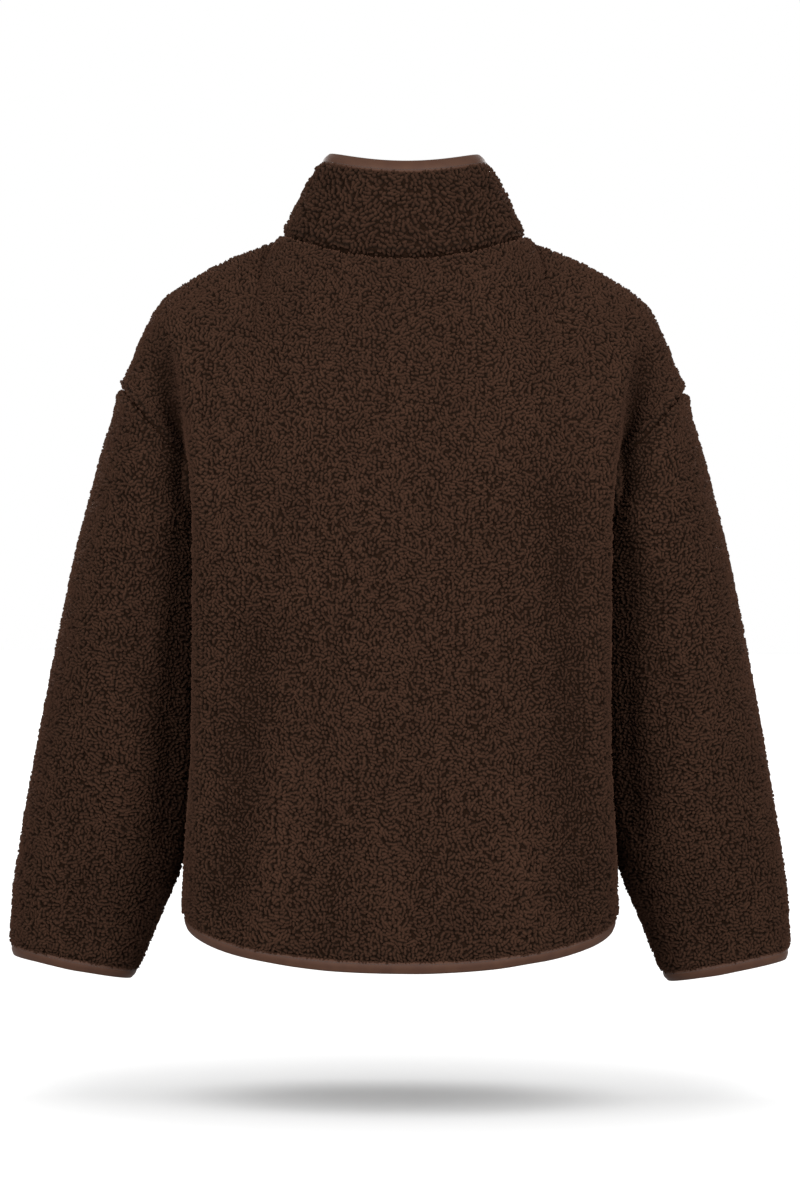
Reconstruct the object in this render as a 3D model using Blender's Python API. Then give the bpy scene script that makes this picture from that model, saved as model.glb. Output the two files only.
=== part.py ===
"""High-pile fleece jacket with a stand collar, filled out as worn, arms down.

Frame: metres, +Z up. The back faces +Y, the front faces -Y and the wearer's left is +X.
The origin lies between the shoulders, level with the neck points.

The outer face of the whole jacket is laid out first, as one skin of rows and columns: the
two halves of the torso, the sleeves and the collar. Each panel is then cut out of the skin
and given its wall, so that two panels share one mitred seam with a narrow gap in it.
Bindings and zip tapes are swept along the edges of those panels.
"""

import math
from collections import namedtuple

import bmesh
import bpy
import numpy as np
from mathutils import Vector
from mathutils.kdtree import KDTree

# ---------------------------------------------------------------- driving dimensions (metres)
FLEECE_WALL = 0.0065        # knit backing and pile together
SEAM_GAP = 0.0003
MITRE_LIMIT = 1.5           # longest seam mitre, in wall thicknesses
MERGE_DISTANCE = 0.00001
HALF_LOOP = 4 / 3           # handle of a cubic round a half loop, as a share of its depth

UNDERARM_Z = -0.217
CHEST_DROP = 0.040          # how far the chest row dips below the underarm points
HEM_SIDE_Z = -0.574         # lower edge of the fleece at the side seams
HEM_BACK_DROP = 0.044       # how much lower it is at the centre back
HEM_FRONT_DROP = 0.035
HEM_DROP_POWER = 1.6

NECK_SHARE = 0.36           # columns from the centre to the neck point, as a share of a half
CREST_SHARE = 0.67          # and to the fold that runs down beside the sleeve
CENTRE_HANDLE = 0.62        # roundness of a torso section at the centre
CREST_HANDLE = 0.55         # and beside the fold
SIDE_HANDLE = 0.42

NECK_HALF_WIDTH = 0.1045
NECK_BACK_Y = 0.073
NECK_FRONT_Y = -0.078
NECK_BACK_DROP = 0.023
NECK_FRONT_DROP = 0.062
NECK_POINT_ANGLE = math.radians(97)
COLLAR_TOP_HALF_WIDTH = 0.0735
COLLAR_TOP_BACK_Y = 0.052
COLLAR_TOP_FRONT_Y = -0.078
COLLAR_TOP_Z = 0.0635
COLLAR_BACK_DROP = 0.0115
COLLAR_FRONT_DROP = 0.0595
COLLAR_BELLY = 0.0025

ARMHOLE_HALF_DEPTH = 0.080

BINDING_THICKNESS = 0.003
BINDING_ROUNDING = 0.0009
BINDING_HEIGHT = 0.009
COLLAR_BINDING_HEIGHT = 0.0105

ZIP_SLOT = 0.011            # from one front edge to the other
TAPE_CENTRE_X = 0.0012
TAPE_EDGE_X = 0.0150
TAPE_THICKNESS = 0.001
TAPE_END = 0.0085

SLIDER_Z = 0.0035
SLIDER_LENGTH = 0.012
SLIDER_TOP_WIDTH = 0.0094
SLIDER_FOOT_WIDTH = 0.0072
SLIDER_CORNER = 0.0015
SLIDER_PLATE = 0.0014
SLIDER_MOUTH = 0.0034       # between the two plates
SLIDER_POST_WIDTH = 0.0014
SLIDER_POST_LENGTH = 0.0030
SLIDER_POST_SETBACK = 0.0004
BRIDGE_LENGTH = 0.0090
BRIDGE_HEIGHT = 0.0033
BRIDGE_BAR = 0.0011
BRIDGE_WIDTH = 0.0018
PULL_THICKNESS = 0.0014
PULL_WIDTH = 0.0062
PULL_LENGTH = 0.0270
PULL_EYE_WIDTH = 0.0030
PULL_EYE_LENGTH = 0.0052
PULL_BAR = 0.0014
PULL_WAIST = 0.72           # width of the stem, as a share of the pull's width

# ---------------------------------------------------------------- mesh density
TORSO_COLUMNS = (5, 5, 5)   # centre to neck point, to fold, to side or armhole
LOWER_ROWS = 16
UPPER_ROWS = 10
ROW_EASE = 1.35             # above 1, rows crowd towards the underarm
COLLAR_ROWS = 5
SLEEVE_ROWS = 19
PULL_END_STEPS = 6
SHARP_ANGLE = math.radians(50)
SMALL_SHIFT = 0.1           # share of the strongest direction below which a corner isn't moved

TorsoSection = namedtuple(
    "TorsoSection", "level back_y back_fold_y fold_x side_x front_fold_y front_y")
# Sections from the hem (level 0) to the underarm (level 1). The fold is the widest point of
# the back and of the front, and the side lies between them, pressed in by the sleeve.
TORSO_SECTIONS = (
    TorsoSection(0.00, 0.142, 0.058, 0.1858, 0.1865, -0.058, -0.143),
    TorsoSection(0.10, 0.142, 0.066, 0.1850, 0.1835, -0.066, -0.143),
    TorsoSection(0.25, 0.140, 0.075, 0.1820, 0.1730, -0.075, -0.141),
    TorsoSection(0.42, 0.138, 0.081, 0.1785, 0.1640, -0.081, -0.139),
    TorsoSection(0.60, 0.136, 0.085, 0.1775, 0.1585, -0.084, -0.137),
    TorsoSection(0.80, 0.135, 0.088, 0.1775, 0.1560, -0.086, -0.136),
    TorsoSection(0.92, 0.135, 0.090, 0.1775, 0.1560, -0.087, -0.136),
    TorsoSection(0.97, 0.135, 0.091, 0.1775, 0.1582, -0.087, -0.136),
    TorsoSection(1.00, 0.135, 0.091, 0.1775, 0.1625, -0.087, -0.136),
)

ShoulderPoint = namedtuple("ShoulderPoint", "share x y z")
# The shoulder seam from the neck point, a little forward of the ridge, to the sleeve's top.
SHOULDER_SEAM = (
    ShoulderPoint(0.36, 0.1037, -0.0090, -0.0010),
    ShoulderPoint(0.45, 0.1330, -0.0120, -0.0118),
    ShoulderPoint(0.55, 0.1690, -0.0120, -0.0290),
    ShoulderPoint(0.67, 0.2080, -0.0110, -0.0555),
    ShoulderPoint(0.78, 0.2235, -0.0090, -0.0810),
    ShoulderPoint(0.90, 0.2365, -0.0040, -0.1130),
    ShoulderPoint(1.00, 0.2455, 0.0000, -0.1330),
)

ColumnHandles = namedtuple("ColumnHandles", "share foot_x foot_y foot_z head_x head_y head_z")
# How the upper torso leaves the chest row (foot) and arrives at the neckline, the shoulder
# seam and the armhole (head), from the centre column to the armhole column.
ARMHOLE_REACH = ARMHOLE_HALF_DEPTH * HALF_LOOP
BACK_HANDLES = (
    ColumnHandles(0.00, 0.000, 0.002, 0.110, 0.000, 0.024, -0.030),
    ColumnHandles(0.10, 0.000, 0.002, 0.110, 0.008, 0.027, -0.028),
    ColumnHandles(0.20, 0.000, 0.003, 0.108, 0.018, 0.025, -0.020),
    ColumnHandles(0.29, 0.000, 0.004, 0.107, 0.022, 0.019, -0.012),
    ColumnHandles(0.36, 0.000, 0.004, 0.106, 0.026, 0.034, -0.011),
    ColumnHandles(0.45, 0.000, 0.005, 0.104, 0.013, 0.052, -0.007),
    ColumnHandles(0.55, 0.000, 0.006, 0.101, 0.005, 0.064, -0.003),
    ColumnHandles(0.67, 0.001, 0.008, 0.098, 0.001, 0.072, 0.002),
    ColumnHandles(0.84, 0.000, 0.038, 0.056, 0.001, 0.074, 0.002),
    ColumnHandles(1.00, 0.000, ARMHOLE_REACH, 0.000, 0.000, ARMHOLE_REACH, 0.000),
)
FRONT_HANDLES = (
    ColumnHandles(0.00, 0.000, -0.001, 0.090, 0.000, -0.022, -0.030),
    ColumnHandles(0.10, 0.000, -0.002, 0.091, 0.008, -0.025, -0.029),
    ColumnHandles(0.20, 0.000, -0.002, 0.092, 0.017, -0.024, -0.024),
    ColumnHandles(0.29, 0.000, -0.003, 0.093, 0.023, -0.019, -0.017),
    ColumnHandles(0.36, 0.000, -0.003, 0.094, 0.026, -0.032, -0.018),
    ColumnHandles(0.45, 0.000, -0.004, 0.094, 0.013, -0.047, -0.018),
    ColumnHandles(0.55, 0.000, -0.005, 0.094, 0.005, -0.058, -0.017),
    ColumnHandles(0.67, 0.001, -0.007, 0.094, 0.001, -0.066, -0.014),
    ColumnHandles(0.84, 0.000, -0.038, 0.056, 0.001, -0.070, -0.008),
    ColumnHandles(1.00, 0.000, -ARMHOLE_REACH, 0.000, 0.000, -ARMHOLE_REACH, 0.000),
)

Fold = namedtuple("Fold", "facing top_x top_z foot_x foot_z half_width depth")
# The largest soft folds of back (+1) and fronts (-1). A negative depth is a trough.
TORSO_FOLDS = (
    Fold(1, 0.121, -0.31, 0.142, -0.56, 0.022, -0.006),
    Fold(1, -0.131, -0.20, -0.150, -0.55, 0.020, -0.006),
    Fold(1, 0.096, -0.42, 0.117, -0.60, 0.018, 0.004),
    Fold(1, -0.084, -0.45, -0.109, -0.59, 0.018, 0.004),
    Fold(-1, 0.118, -0.24, 0.138, -0.54, 0.021, -0.006),
    Fold(-1, -0.110, -0.30, -0.136, -0.56, 0.021, -0.006),
    Fold(-1, 0.084, -0.43, 0.104, -0.59, 0.018, 0.004),
    Fold(-1, -0.074, -0.40, -0.100, -0.58, 0.018, 0.004),
)
FOLD_FADE = 0.05            # length over which a fold begins and ends
FOLD_SIDE_MARGIN = 0.06     # depth over which the folds die out towards the side seam

SleeveRing = namedtuple(
    "SleeveRing", "level outer_x outer_z inner_x inner_z centre_y half_depth")
# Rings from the armhole (level 0) to the cuff (level 1), each between its outermost and its
# innermost point. The sleeve bends down from the shoulder and a little forward to the hand.
SLEEVE_RINGS = (
    SleeveRing(0.00, 0.2455, -0.1330, 0.1625, -0.2170, 0.000, 0.080),
    SleeveRing(0.05, 0.2510, -0.1580, 0.1660, -0.2235, -0.001, 0.084),
    SleeveRing(0.11, 0.2608, -0.1900, 0.1668, -0.2350, -0.002, 0.086),
    SleeveRing(0.17, 0.2692, -0.2220, 0.1665, -0.2520, -0.004, 0.085),
    SleeveRing(0.25, 0.2800, -0.2620, 0.1665, -0.2830, -0.007, 0.082),
    SleeveRing(0.35, 0.2908, -0.3100, 0.1672, -0.3260, -0.012, 0.078),
    SleeveRing(0.48, 0.3032, -0.3700, 0.1695, -0.3840, -0.019, 0.073),
    SleeveRing(0.60, 0.3142, -0.4250, 0.1735, -0.4410, -0.026, 0.068),
    SleeveRing(0.70, 0.3238, -0.4750, 0.1800, -0.4930, -0.033, 0.062),
    SleeveRing(0.82, 0.3335, -0.5300, 0.1915, -0.5510, -0.039, 0.055),
    SleeveRing(0.92, 0.3400, -0.5750, 0.2105, -0.5970, -0.043, 0.048),
    SleeveRing(1.00, 0.3425, -0.6190, 0.2285, -0.6412, -0.046, 0.042),
)

BACK, FRONT = 1, -1
LEFT, RIGHT = 1, -1
PANELS = ("back", "front_left", "front_right", "sleeve_left", "sleeve_right", "collar")

Finish = namedtuple("Finish", "color roughness metallic")
FLEECE = Finish((0.036, 0.018, 0.012, 1.0), 0.95, 0.0)
BINDING = Finish((0.110, 0.052, 0.037, 1.0), 0.55, 0.0)
TAPE = Finish((0.050, 0.026, 0.018, 1.0), 0.8, 0.0)
METAL = Finish((0.120, 0.085, 0.065, 1.0), 0.35, 1.0)


# ---------------------------------------------------------------- curves and tables
def read_table(rows, key):
    """Read every column of a table at a key, along smooth curves through its rows."""
    table = np.array(rows, dtype=float)
    keys = table[:, 0]
    slopes = np.gradient(table, keys, axis=0)
    first = int(np.clip(np.searchsorted(keys, key) - 1, 0, len(keys) - 2))
    span = keys[first + 1] - keys[first]
    t = (key - keys[first]) / span
    start_weight = 2 * t**3 - 3 * t**2 + 1
    values = (
        start_weight * table[first]
        + (1 - start_weight) * table[first + 1]
        + (t**3 - 2 * t**2 + t) * span * slopes[first]
        + (t**3 - t**2) * span * slopes[first + 1]
    )
    return type(rows[0])(*values)


def cubic(start, leave, arrive, end, t):
    """Point at t on the cubic curve with these four control points."""
    start, leave, arrive, end = map(np.asarray, (start, leave, arrive, end))
    rest = 1 - t
    return (
        rest**3 * start + 3 * rest**2 * t * leave + 3 * rest * t**2 * arrive + t**3 * end
    )


def smooth_step(value):
    """Ease from 0 to 1 as the value goes from 0 to 1."""
    value = min(max(value, 0.0), 1.0)
    return value * value * (3 - 2 * value)


# ---------------------------------------------------------------- torso
def section_point(section, facing, share):
    """Horizontal place (x, y) on a torso section, from the centre (0) to the side (1)."""
    centre_y = section.back_y if facing == BACK else section.front_y
    fold_y = section.back_fold_y if facing == BACK else section.front_fold_y
    centre_x = 0.0 if facing == BACK else ZIP_SLOT / 2
    if share <= CREST_SHARE:
        return cubic(
            (centre_x, centre_y),
            (CENTRE_HANDLE * section.fold_x, centre_y),
            (section.fold_x, fold_y + CREST_HANDLE * (centre_y - fold_y)),
            (section.fold_x, fold_y),
            share / CREST_SHARE,
        )
    return cubic(
        (section.fold_x, fold_y),
        (section.fold_x, (1 - SIDE_HANDLE) * fold_y),
        (section.side_x, SIDE_HANDLE * fold_y),
        (section.side_x, 0.0),
        (share - CREST_SHARE) / (1 - CREST_SHARE),
    )


def fold_offset(facing, x, z):
    """How far the torso's soft folds push its face outwards at a place."""
    offset = 0.0
    for fold in TORSO_FOLDS:
        if fold.facing != facing:
            continue
        along = (z - fold.top_z) / (fold.foot_z - fold.top_z)
        centre_x = fold.top_x + (fold.foot_x - fold.top_x) * along
        fade = FOLD_FADE / (fold.top_z - fold.foot_z)
        strength = smooth_step(along / fade) * smooth_step((1 + fade - along) / fade)
        offset += fold.depth * strength * math.exp(-(((x - centre_x) / fold.half_width) ** 2))
    return offset


def hem_z(facing, share_of_depth):
    """Height of the fleece's lower edge, which dips from the side to the centre."""
    drop = HEM_BACK_DROP if facing == BACK else HEM_FRONT_DROP
    return HEM_SIDE_Z - drop * share_of_depth**HEM_DROP_POWER


def chest_z(share):
    """Height of the row that ends at the underarm point, dipping away from it."""
    from_side = min((1 - share) / (1 - CREST_SHARE), 1.0)
    return UNDERARM_Z - CHEST_DROP * (1 - (1 - from_side) ** 3)


def lower_point(facing, share, level):
    """Point of the torso between the hem (level 0) and the underarm row (level 1)."""
    section = read_table(TORSO_SECTIONS, level)
    x, y = section_point(section, facing, share)
    centre_y = section.back_y if facing == BACK else section.front_y
    low = hem_z(facing, y / centre_y)
    return np.array((x, y, low + (chest_z(share) - low) * level))


def neckline_angle(facing, share, half_width):
    """Angle from the centre back of a neckline column, on a ring of this half width."""
    if facing == BACK:
        return NECK_POINT_ANGLE * share / NECK_SHARE
    front_edge = math.pi - math.asin(ZIP_SLOT / 2 / half_width)
    return front_edge + (NECK_POINT_ANGLE - front_edge) * share / NECK_SHARE


def collar_point(facing, share, height):
    """Point of the collar from the neckline (height 0) to its top edge (height 1)."""
    half_width = NECK_HALF_WIDTH + (COLLAR_TOP_HALF_WIDTH - NECK_HALF_WIDTH) * height
    angle = neckline_angle(facing, share, half_width)
    toward_back = math.cos(angle)
    if toward_back > 0:
        reach = NECK_BACK_Y + (COLLAR_TOP_BACK_Y - NECK_BACK_Y) * height
        low, drop = -NECK_BACK_DROP * toward_back**2, COLLAR_BACK_DROP
    else:
        reach = -(NECK_FRONT_Y + (COLLAR_TOP_FRONT_Y - NECK_FRONT_Y) * height)
        low, drop = -NECK_FRONT_DROP * toward_back**2, COLLAR_FRONT_DROP
    high = COLLAR_TOP_Z - drop * toward_back**2
    belly = 1 + COLLAR_BELLY / NECK_HALF_WIDTH * math.sin(math.pi * height)
    x = half_width * math.sin(angle)
    if abs(x) > ZIP_SLOT / 2 + MERGE_DISTANCE:
        x *= belly
    return np.array((x, reach * toward_back * belly, low + (high - low) * height))


def head_point(facing, share):
    """Upper end of a torso column, on the neckline or on the shoulder seam."""
    if share <= NECK_SHARE + MERGE_DISTANCE:
        return collar_point(facing, share, 0.0)
    seam = read_table(SHOULDER_SEAM, share)
    return np.array((seam.x, seam.y, seam.z))


def upper_point(facing, share, level):
    """Point of the torso between the underarm row (level 0) and its upper edge (level 1)."""
    handles = read_table(BACK_HANDLES if facing == BACK else FRONT_HANDLES, share)
    foot = lower_point(facing, share, 1.0)
    head = head_point(facing, share)
    leave = foot + np.array((handles.foot_x, handles.foot_y, handles.foot_z))
    arrive = head + np.array((handles.head_x, handles.head_y, handles.head_z))
    return cubic(foot, leave, arrive, head, level)


def torso_shares():
    """Column places of a half torso, with the neck point and the fold among them."""
    ends = (0.0, NECK_SHARE, CREST_SHARE, 1.0)
    shares = [0.0]
    for count, start, end in zip(TORSO_COLUMNS, ends[:-1], ends[1:]):
        shares.extend(start + (end - start) * (i + 1) / count for i in range(count))
    return shares


def torso_grid(facing, hand):
    """Rows of points, from the hem up, of one half of the back or of one front."""
    lower_levels = [1 - (1 - i / LOWER_ROWS) ** ROW_EASE for i in range(LOWER_ROWS)]
    upper_levels = [i / UPPER_ROWS for i in range(UPPER_ROWS + 1)]
    rows = [[lower_point(facing, s, v) for s in torso_shares()] for v in lower_levels]
    rows += [[upper_point(facing, s, v) for s in torso_shares()] for v in upper_levels]
    for row in rows:
        for point in row:
            point[0] *= hand
            clear_of_side = smooth_step(abs(point[1]) / FOLD_SIDE_MARGIN)
            offset = fold_offset(facing, point[0], point[2])
            point[1] += facing * clear_of_side * offset
    return rows


def collar_grid():
    """Rows of points, from the neckline up, from the left front edge to the right one."""
    shares = [s for s in torso_shares() if s <= NECK_SHARE + MERGE_DISTANCE]
    rows = []
    for i in range(COLLAR_ROWS + 1):
        height = i / COLLAR_ROWS
        front = [collar_point(FRONT, s, height) for s in shares]
        back = [collar_point(BACK, s, height) for s in reversed(shares)]
        half = front[:-1] + back
        mirrored = [p * (-1, 1, 1) for p in reversed(half[:-1])]
        rows.append(half + mirrored)
    return rows


# ---------------------------------------------------------------- sleeves
def sleeve_point(ring, facing, climb):
    """Point of a sleeve ring, climbing from its inner (0) to its outer end (1)."""
    inner = np.array((ring.inner_x, ring.centre_y, ring.inner_z))
    outer = np.array((ring.outer_x, ring.centre_y, ring.outer_z))
    reach = np.array((0.0, facing * ring.half_depth * HALF_LOOP, 0.0))
    return cubic(inner, inner + reach, outer + reach, outer, climb)


def sleeve_grid(hand):
    """Closed rings of points from the armhole to the cuff."""
    climbs = [i / UPPER_ROWS for i in range(UPPER_ROWS + 1)]
    rows = []
    for i in range(SLEEVE_ROWS + 1):
        ring = read_table(SLEEVE_RINGS, (i / SLEEVE_ROWS) ** ROW_EASE)
        back = [sleeve_point(ring, BACK, t) for t in climbs]
        front = [sleeve_point(ring, FRONT, t) for t in reversed(climbs[1:-1])]
        rows.append([p * (hand, 1, 1) for p in back + front])
    return rows


# ---------------------------------------------------------------- skin and panels
def add_grid(skin, panel_layer, panel, rows, closed):
    """Add a grid of points to the skin as the faces of one panel."""
    verts = [[skin.verts.new(p) for p in row] for row in rows]
    count = len(rows[0])
    for lower, upper in zip(verts[:-1], verts[1:]):
        for i in range(count if closed else count - 1):
            j = (i + 1) % count
            face = skin.faces.new((lower[i], lower[j], upper[j], upper[i]))
            face[panel_layer] = PANELS.index(panel)


def build_skin():
    """Lay out the outer face of the whole jacket, with its panels joined at the seams."""
    skin = bmesh.new()
    layer = skin.faces.layers.int.new("panel")
    left_back = torso_grid(BACK, LEFT)
    right_back = torso_grid(BACK, RIGHT)
    back = [list(reversed(a)) + b[1:] for a, b in zip(left_back, right_back)]
    add_grid(skin, layer, "back", back, False)
    add_grid(skin, layer, "front_left", torso_grid(FRONT, LEFT), False)
    add_grid(skin, layer, "front_right", torso_grid(FRONT, RIGHT), False)
    add_grid(skin, layer, "sleeve_left", sleeve_grid(LEFT), True)
    add_grid(skin, layer, "sleeve_right", sleeve_grid(RIGHT), True)
    add_grid(skin, layer, "collar", collar_grid(), False)
    bmesh.ops.remove_doubles(skin, verts=skin.verts, dist=MERGE_DISTANCE)
    bmesh.ops.recalc_face_normals(skin, faces=skin.faces)
    rearmost = max(skin.faces, key=lambda face: face.calc_center_median().y)
    if rearmost.normal.y < 0:
        bmesh.ops.reverse_faces(skin, faces=skin.faces)
    skin.normal_update()
    inward = skin.verts.layers.float_vector.new("inward")
    place = skin.verts.layers.int.new("place")
    for i, vert in enumerate(skin.verts):
        mitre = min(vert.calc_shell_factor(), MITRE_LIMIT)
        vert[inward] = -vert.normal * mitre
        if abs(vert.co.x) < ZIP_SLOT / 2 + MERGE_DISTANCE:
            vert[inward].x = 0.0
        vert[place] = i
    return skin


def seam_shift(vert, inward, gap_of_edge):
    """Move of a panel's edge vertex that opens half a seam gap beside each seam."""
    rows, gaps = [], []
    for edge in vert.link_edges:
        if not edge.is_boundary:
            continue
        along = edge.verts[1].co - edge.verts[0].co
        depth = edge.verts[0][inward] + edge.verts[1][inward]
        across = along.cross(depth).normalized()
        face = edge.link_faces[0]
        if across.dot(face.calc_center_median() - edge.verts[0].co) < 0:
            across.negate()
        rows.append(across)
        gaps.append(gap_of_edge(edge))
    rows.append(vert[inward].normalized())
    gaps.append(0.0)
    return Vector(np.linalg.pinv(np.array(rows), rcond=SMALL_SHIFT) @ np.array(gaps))


def cut_panel(skin, panel):
    """Cut one panel out of the skin and give it its wall, as a closed mesh."""
    piece = skin.copy()
    layer = piece.faces.layers.int["panel"]
    inward = piece.verts.layers.float_vector["inward"]
    place = piece.verts.layers.int["place"]
    seam = piece.edges.layers.int.new("seam")
    for edge in piece.edges:
        edge[seam] = len({face[layer] for face in edge.link_faces}) == 2
    others = [face for face in piece.faces if face[layer] != PANELS.index(panel)]
    bmesh.ops.delete(piece, geom=others, context="FACES")
    half_gap = SEAM_GAP / 2
    edge_verts = [vert for vert in piece.verts if vert.is_boundary]
    shifts = [seam_shift(vert, inward, lambda e: half_gap * e[seam]) for vert in edge_verts]
    for vert, shift in zip(edge_verts, shifts):
        vert.co += shift
    outer = list(piece.faces)
    rim = [edge for edge in piece.edges if edge.is_boundary]
    backing = bmesh.ops.duplicate(piece, geom=outer + list(piece.verts))["vert_map"]
    inner_faces = [face for face in piece.faces if face not in set(outer)]
    for vert in {v for face in outer for v in face.verts}:
        backing[vert].co = vert.co + vert[inward] * FLEECE_WALL
    bmesh.ops.reverse_faces(piece, faces=inner_faces)
    for edge in rim:
        loop = edge.link_loops[0]
        start, end = loop.vert, loop.link_loop_next.vert
        if start[place] < end[place]:
            piece.faces.new((end, start, backing[end]))
            piece.faces.new((start, backing[start], backing[end]))
        else:
            piece.faces.new((end, start, backing[start]))
            piece.faces.new((end, backing[start], backing[end]))
    return piece


# ---------------------------------------------------------------- strips along the edges
class EdgeFinder:
    """Gives the inward direction of the skin at any of its points."""

    def __init__(self, skin):
        self.inward = [tuple(vert[skin.verts.layers.float_vector["inward"]])
                       for vert in skin.verts]
        self.tree = KDTree(len(skin.verts))
        for i, vert in enumerate(skin.verts):
            self.tree.insert(vert.co, i)
        self.tree.balance()

    def at(self, point):
        """Inward direction, as long as the mitre there, for a wall of 1."""
        return np.array(self.inward[self.tree.find(point)[1]])


def binding_section(height):
    """Outline of a binding: (depth under the pile's face, drop past the fleece's edge)."""
    face = FLEECE_WALL - BINDING_THICKNESS
    return (
        (face, SEAM_GAP),
        (face, height - BINDING_ROUNDING),
        (face + BINDING_ROUNDING, height),
        (FLEECE_WALL - BINDING_ROUNDING, height),
        (FLEECE_WALL, height - BINDING_ROUNDING),
        (FLEECE_WALL, SEAM_GAP),
    )


def sweep_binding(finder, edge_row, next_row, height, closed):
    """Sweep a binding along an edge of the fleece; next_row is the row behind the edge."""
    strip = bmesh.new()
    rings = []
    for edge, behind in zip(edge_row, next_row):
        inward = finder.at(edge)
        beyond = edge - behind
        beyond -= inward * (beyond @ inward) / (inward @ inward)
        beyond /= np.linalg.norm(beyond)
        rings.append([strip.verts.new(edge + inward * depth + beyond * drop)
                      for depth, drop in binding_section(height)])
    pairs = list(zip(rings[:-1], rings[1:]))
    if closed:
        pairs.append((rings[-1], rings[0]))
    for first, second in pairs:
        for i in range(len(first)):
            j = (i + 1) % len(first)
            strip.faces.new((first[i], first[j], second[j], second[i]))
    if not closed:
        strip.faces.new(rings[0])
        strip.faces.new(rings[-1])
    bmesh.ops.recalc_face_normals(strip, faces=strip.faces)
    return strip


def sweep_tape(finder, edge_column, next_column, hand):
    """Sweep a zip tape up the inside of a front edge and the collar's front edge."""
    strip = bmesh.new()
    rings = []
    for edge, beside in zip(edge_column, next_column):
        under_edge = edge + finder.at(edge) * FLEECE_WALL
        under_beside = beside + finder.at(beside) * FLEECE_WALL
        inward = finder.at(edge)
        slope = (under_beside - under_edge) / abs(under_beside[0] - under_edge[0])
        outer_edge = under_edge + slope * (TAPE_EDGE_X - ZIP_SLOT / 2)
        inner_edge = np.array((hand * TAPE_CENTRE_X, under_edge[1], under_edge[2]))
        near = [inner_edge, under_edge, outer_edge]
        front = [p + inward * SEAM_GAP for p in near]
        rear = [p + inward * (SEAM_GAP + TAPE_THICKNESS) for p in reversed(near)]
        rings.append(front + rear)
    first_step = (rings[0][0] - rings[1][0]) / np.linalg.norm(rings[0][0] - rings[1][0])
    last_step = (rings[-1][0] - rings[-2][0]) / np.linalg.norm(rings[-1][0] - rings[-2][0])
    rings.insert(0, [p + first_step * TAPE_END for p in rings[0]])
    rings.append([p + last_step * TAPE_END for p in rings[-1]])
    loops = [[strip.verts.new(p) for p in ring] for ring in rings]
    for first, second in zip(loops[:-1], loops[1:]):
        for i in range(len(first)):
            j = (i + 1) % len(first)
            strip.faces.new((first[i], first[j], second[j], second[i]))
    for end in (loops[0], loops[-1]):
        strip.faces.new((end[0], end[1], end[4], end[5]))
        strip.faces.new((end[1], end[2], end[3], end[4]))
    bmesh.ops.recalc_face_normals(strip, faces=strip.faces)
    return strip


# ---------------------------------------------------------------- zip slider and pull
def extrude_outline(outline, y_front, y_rear):
    """Close a flat outline of (x, z) points into a plate between two depths."""
    plate = bmesh.new()
    face = plate.faces.new([plate.verts.new((x, y_front, z)) for x, z in outline])
    wall = bmesh.ops.extrude_face_region(plate, geom=[face])["geom"]
    moved = [item for item in wall if isinstance(item, bmesh.types.BMVert)]
    bmesh.ops.translate(plate, verts=moved, vec=(0, y_rear - y_front, 0))
    bmesh.ops.recalc_face_normals(plate, faces=plate.faces)
    return plate


def box(low, high):
    """A block between two opposite corners."""
    block = bmesh.new()
    bmesh.ops.create_cube(block, size=1.0)
    centre = (Vector(low) + Vector(high)) / 2
    size = Vector(high) - Vector(low)
    bmesh.ops.scale(block, verts=block.verts, vec=size)
    bmesh.ops.translate(block, verts=block.verts, vec=centre)
    return block


def slider_outline():
    """Outline (x, z) of a slider plate: broad shoulders above, narrow foot below."""
    top, foot, half = SLIDER_TOP_WIDTH / 2, SLIDER_FOOT_WIDTH / 2, SLIDER_LENGTH / 2
    corner = SLIDER_CORNER
    return [
        (x, SLIDER_Z + z)
        for x, z in (
            (-foot, -half),
            (foot, -half),
            (foot, -corner),
            (top, corner),
            (top, half - corner),
            (top - corner, half),
            (corner - top, half),
            (-top, half - corner),
            (-top, corner),
            (-foot, -corner),
        )
    ]


def add_slider(tape_y):
    """Make the slider: two plates joined by a post, and the bridge that holds the pull."""
    plate_y = tape_y - SLIDER_MOUTH / 2 - SLIDER_PLATE
    front_plate = extrude_outline(slider_outline(), plate_y, plate_y + SLIDER_PLATE)
    slider = add_object("zip_slider", front_plate, METAL, False)
    rear_y = tape_y + SLIDER_MOUTH / 2
    rear_plate = extrude_outline(slider_outline(), rear_y, rear_y + SLIDER_PLATE)
    post_top = SLIDER_Z + SLIDER_LENGTH / 2 - SLIDER_POST_SETBACK
    post = box(
        (-SLIDER_POST_WIDTH / 2, plate_y + SLIDER_PLATE / 2, post_top - SLIDER_POST_LENGTH),
        (SLIDER_POST_WIDTH / 2, rear_y + SLIDER_PLATE / 2, post_top),
    )
    half = BRIDGE_LENGTH / 2
    top_y = plate_y - BRIDGE_HEIGHT
    legs = [
        box(
            (-BRIDGE_WIDTH / 2, top_y, SLIDER_Z + low),
            (BRIDGE_WIDTH / 2, plate_y + SLIDER_PLATE / 2, SLIDER_Z + low + BRIDGE_BAR),
        )
        for low in (-half, half - BRIDGE_BAR)
    ]
    span = box(
        (-BRIDGE_WIDTH / 2, top_y, SLIDER_Z - half),
        (BRIDGE_WIDTH / 2, top_y + BRIDGE_BAR, SLIDER_Z + half),
    )
    for name, mesh in (
        ("rear_plate", rear_plate),
        ("post", post),
        ("bridge_foot", legs[0]),
        ("bridge_head", legs[1]),
        ("bridge_span", span),
    ):
        join_shape(slider, name, mesh)


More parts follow.
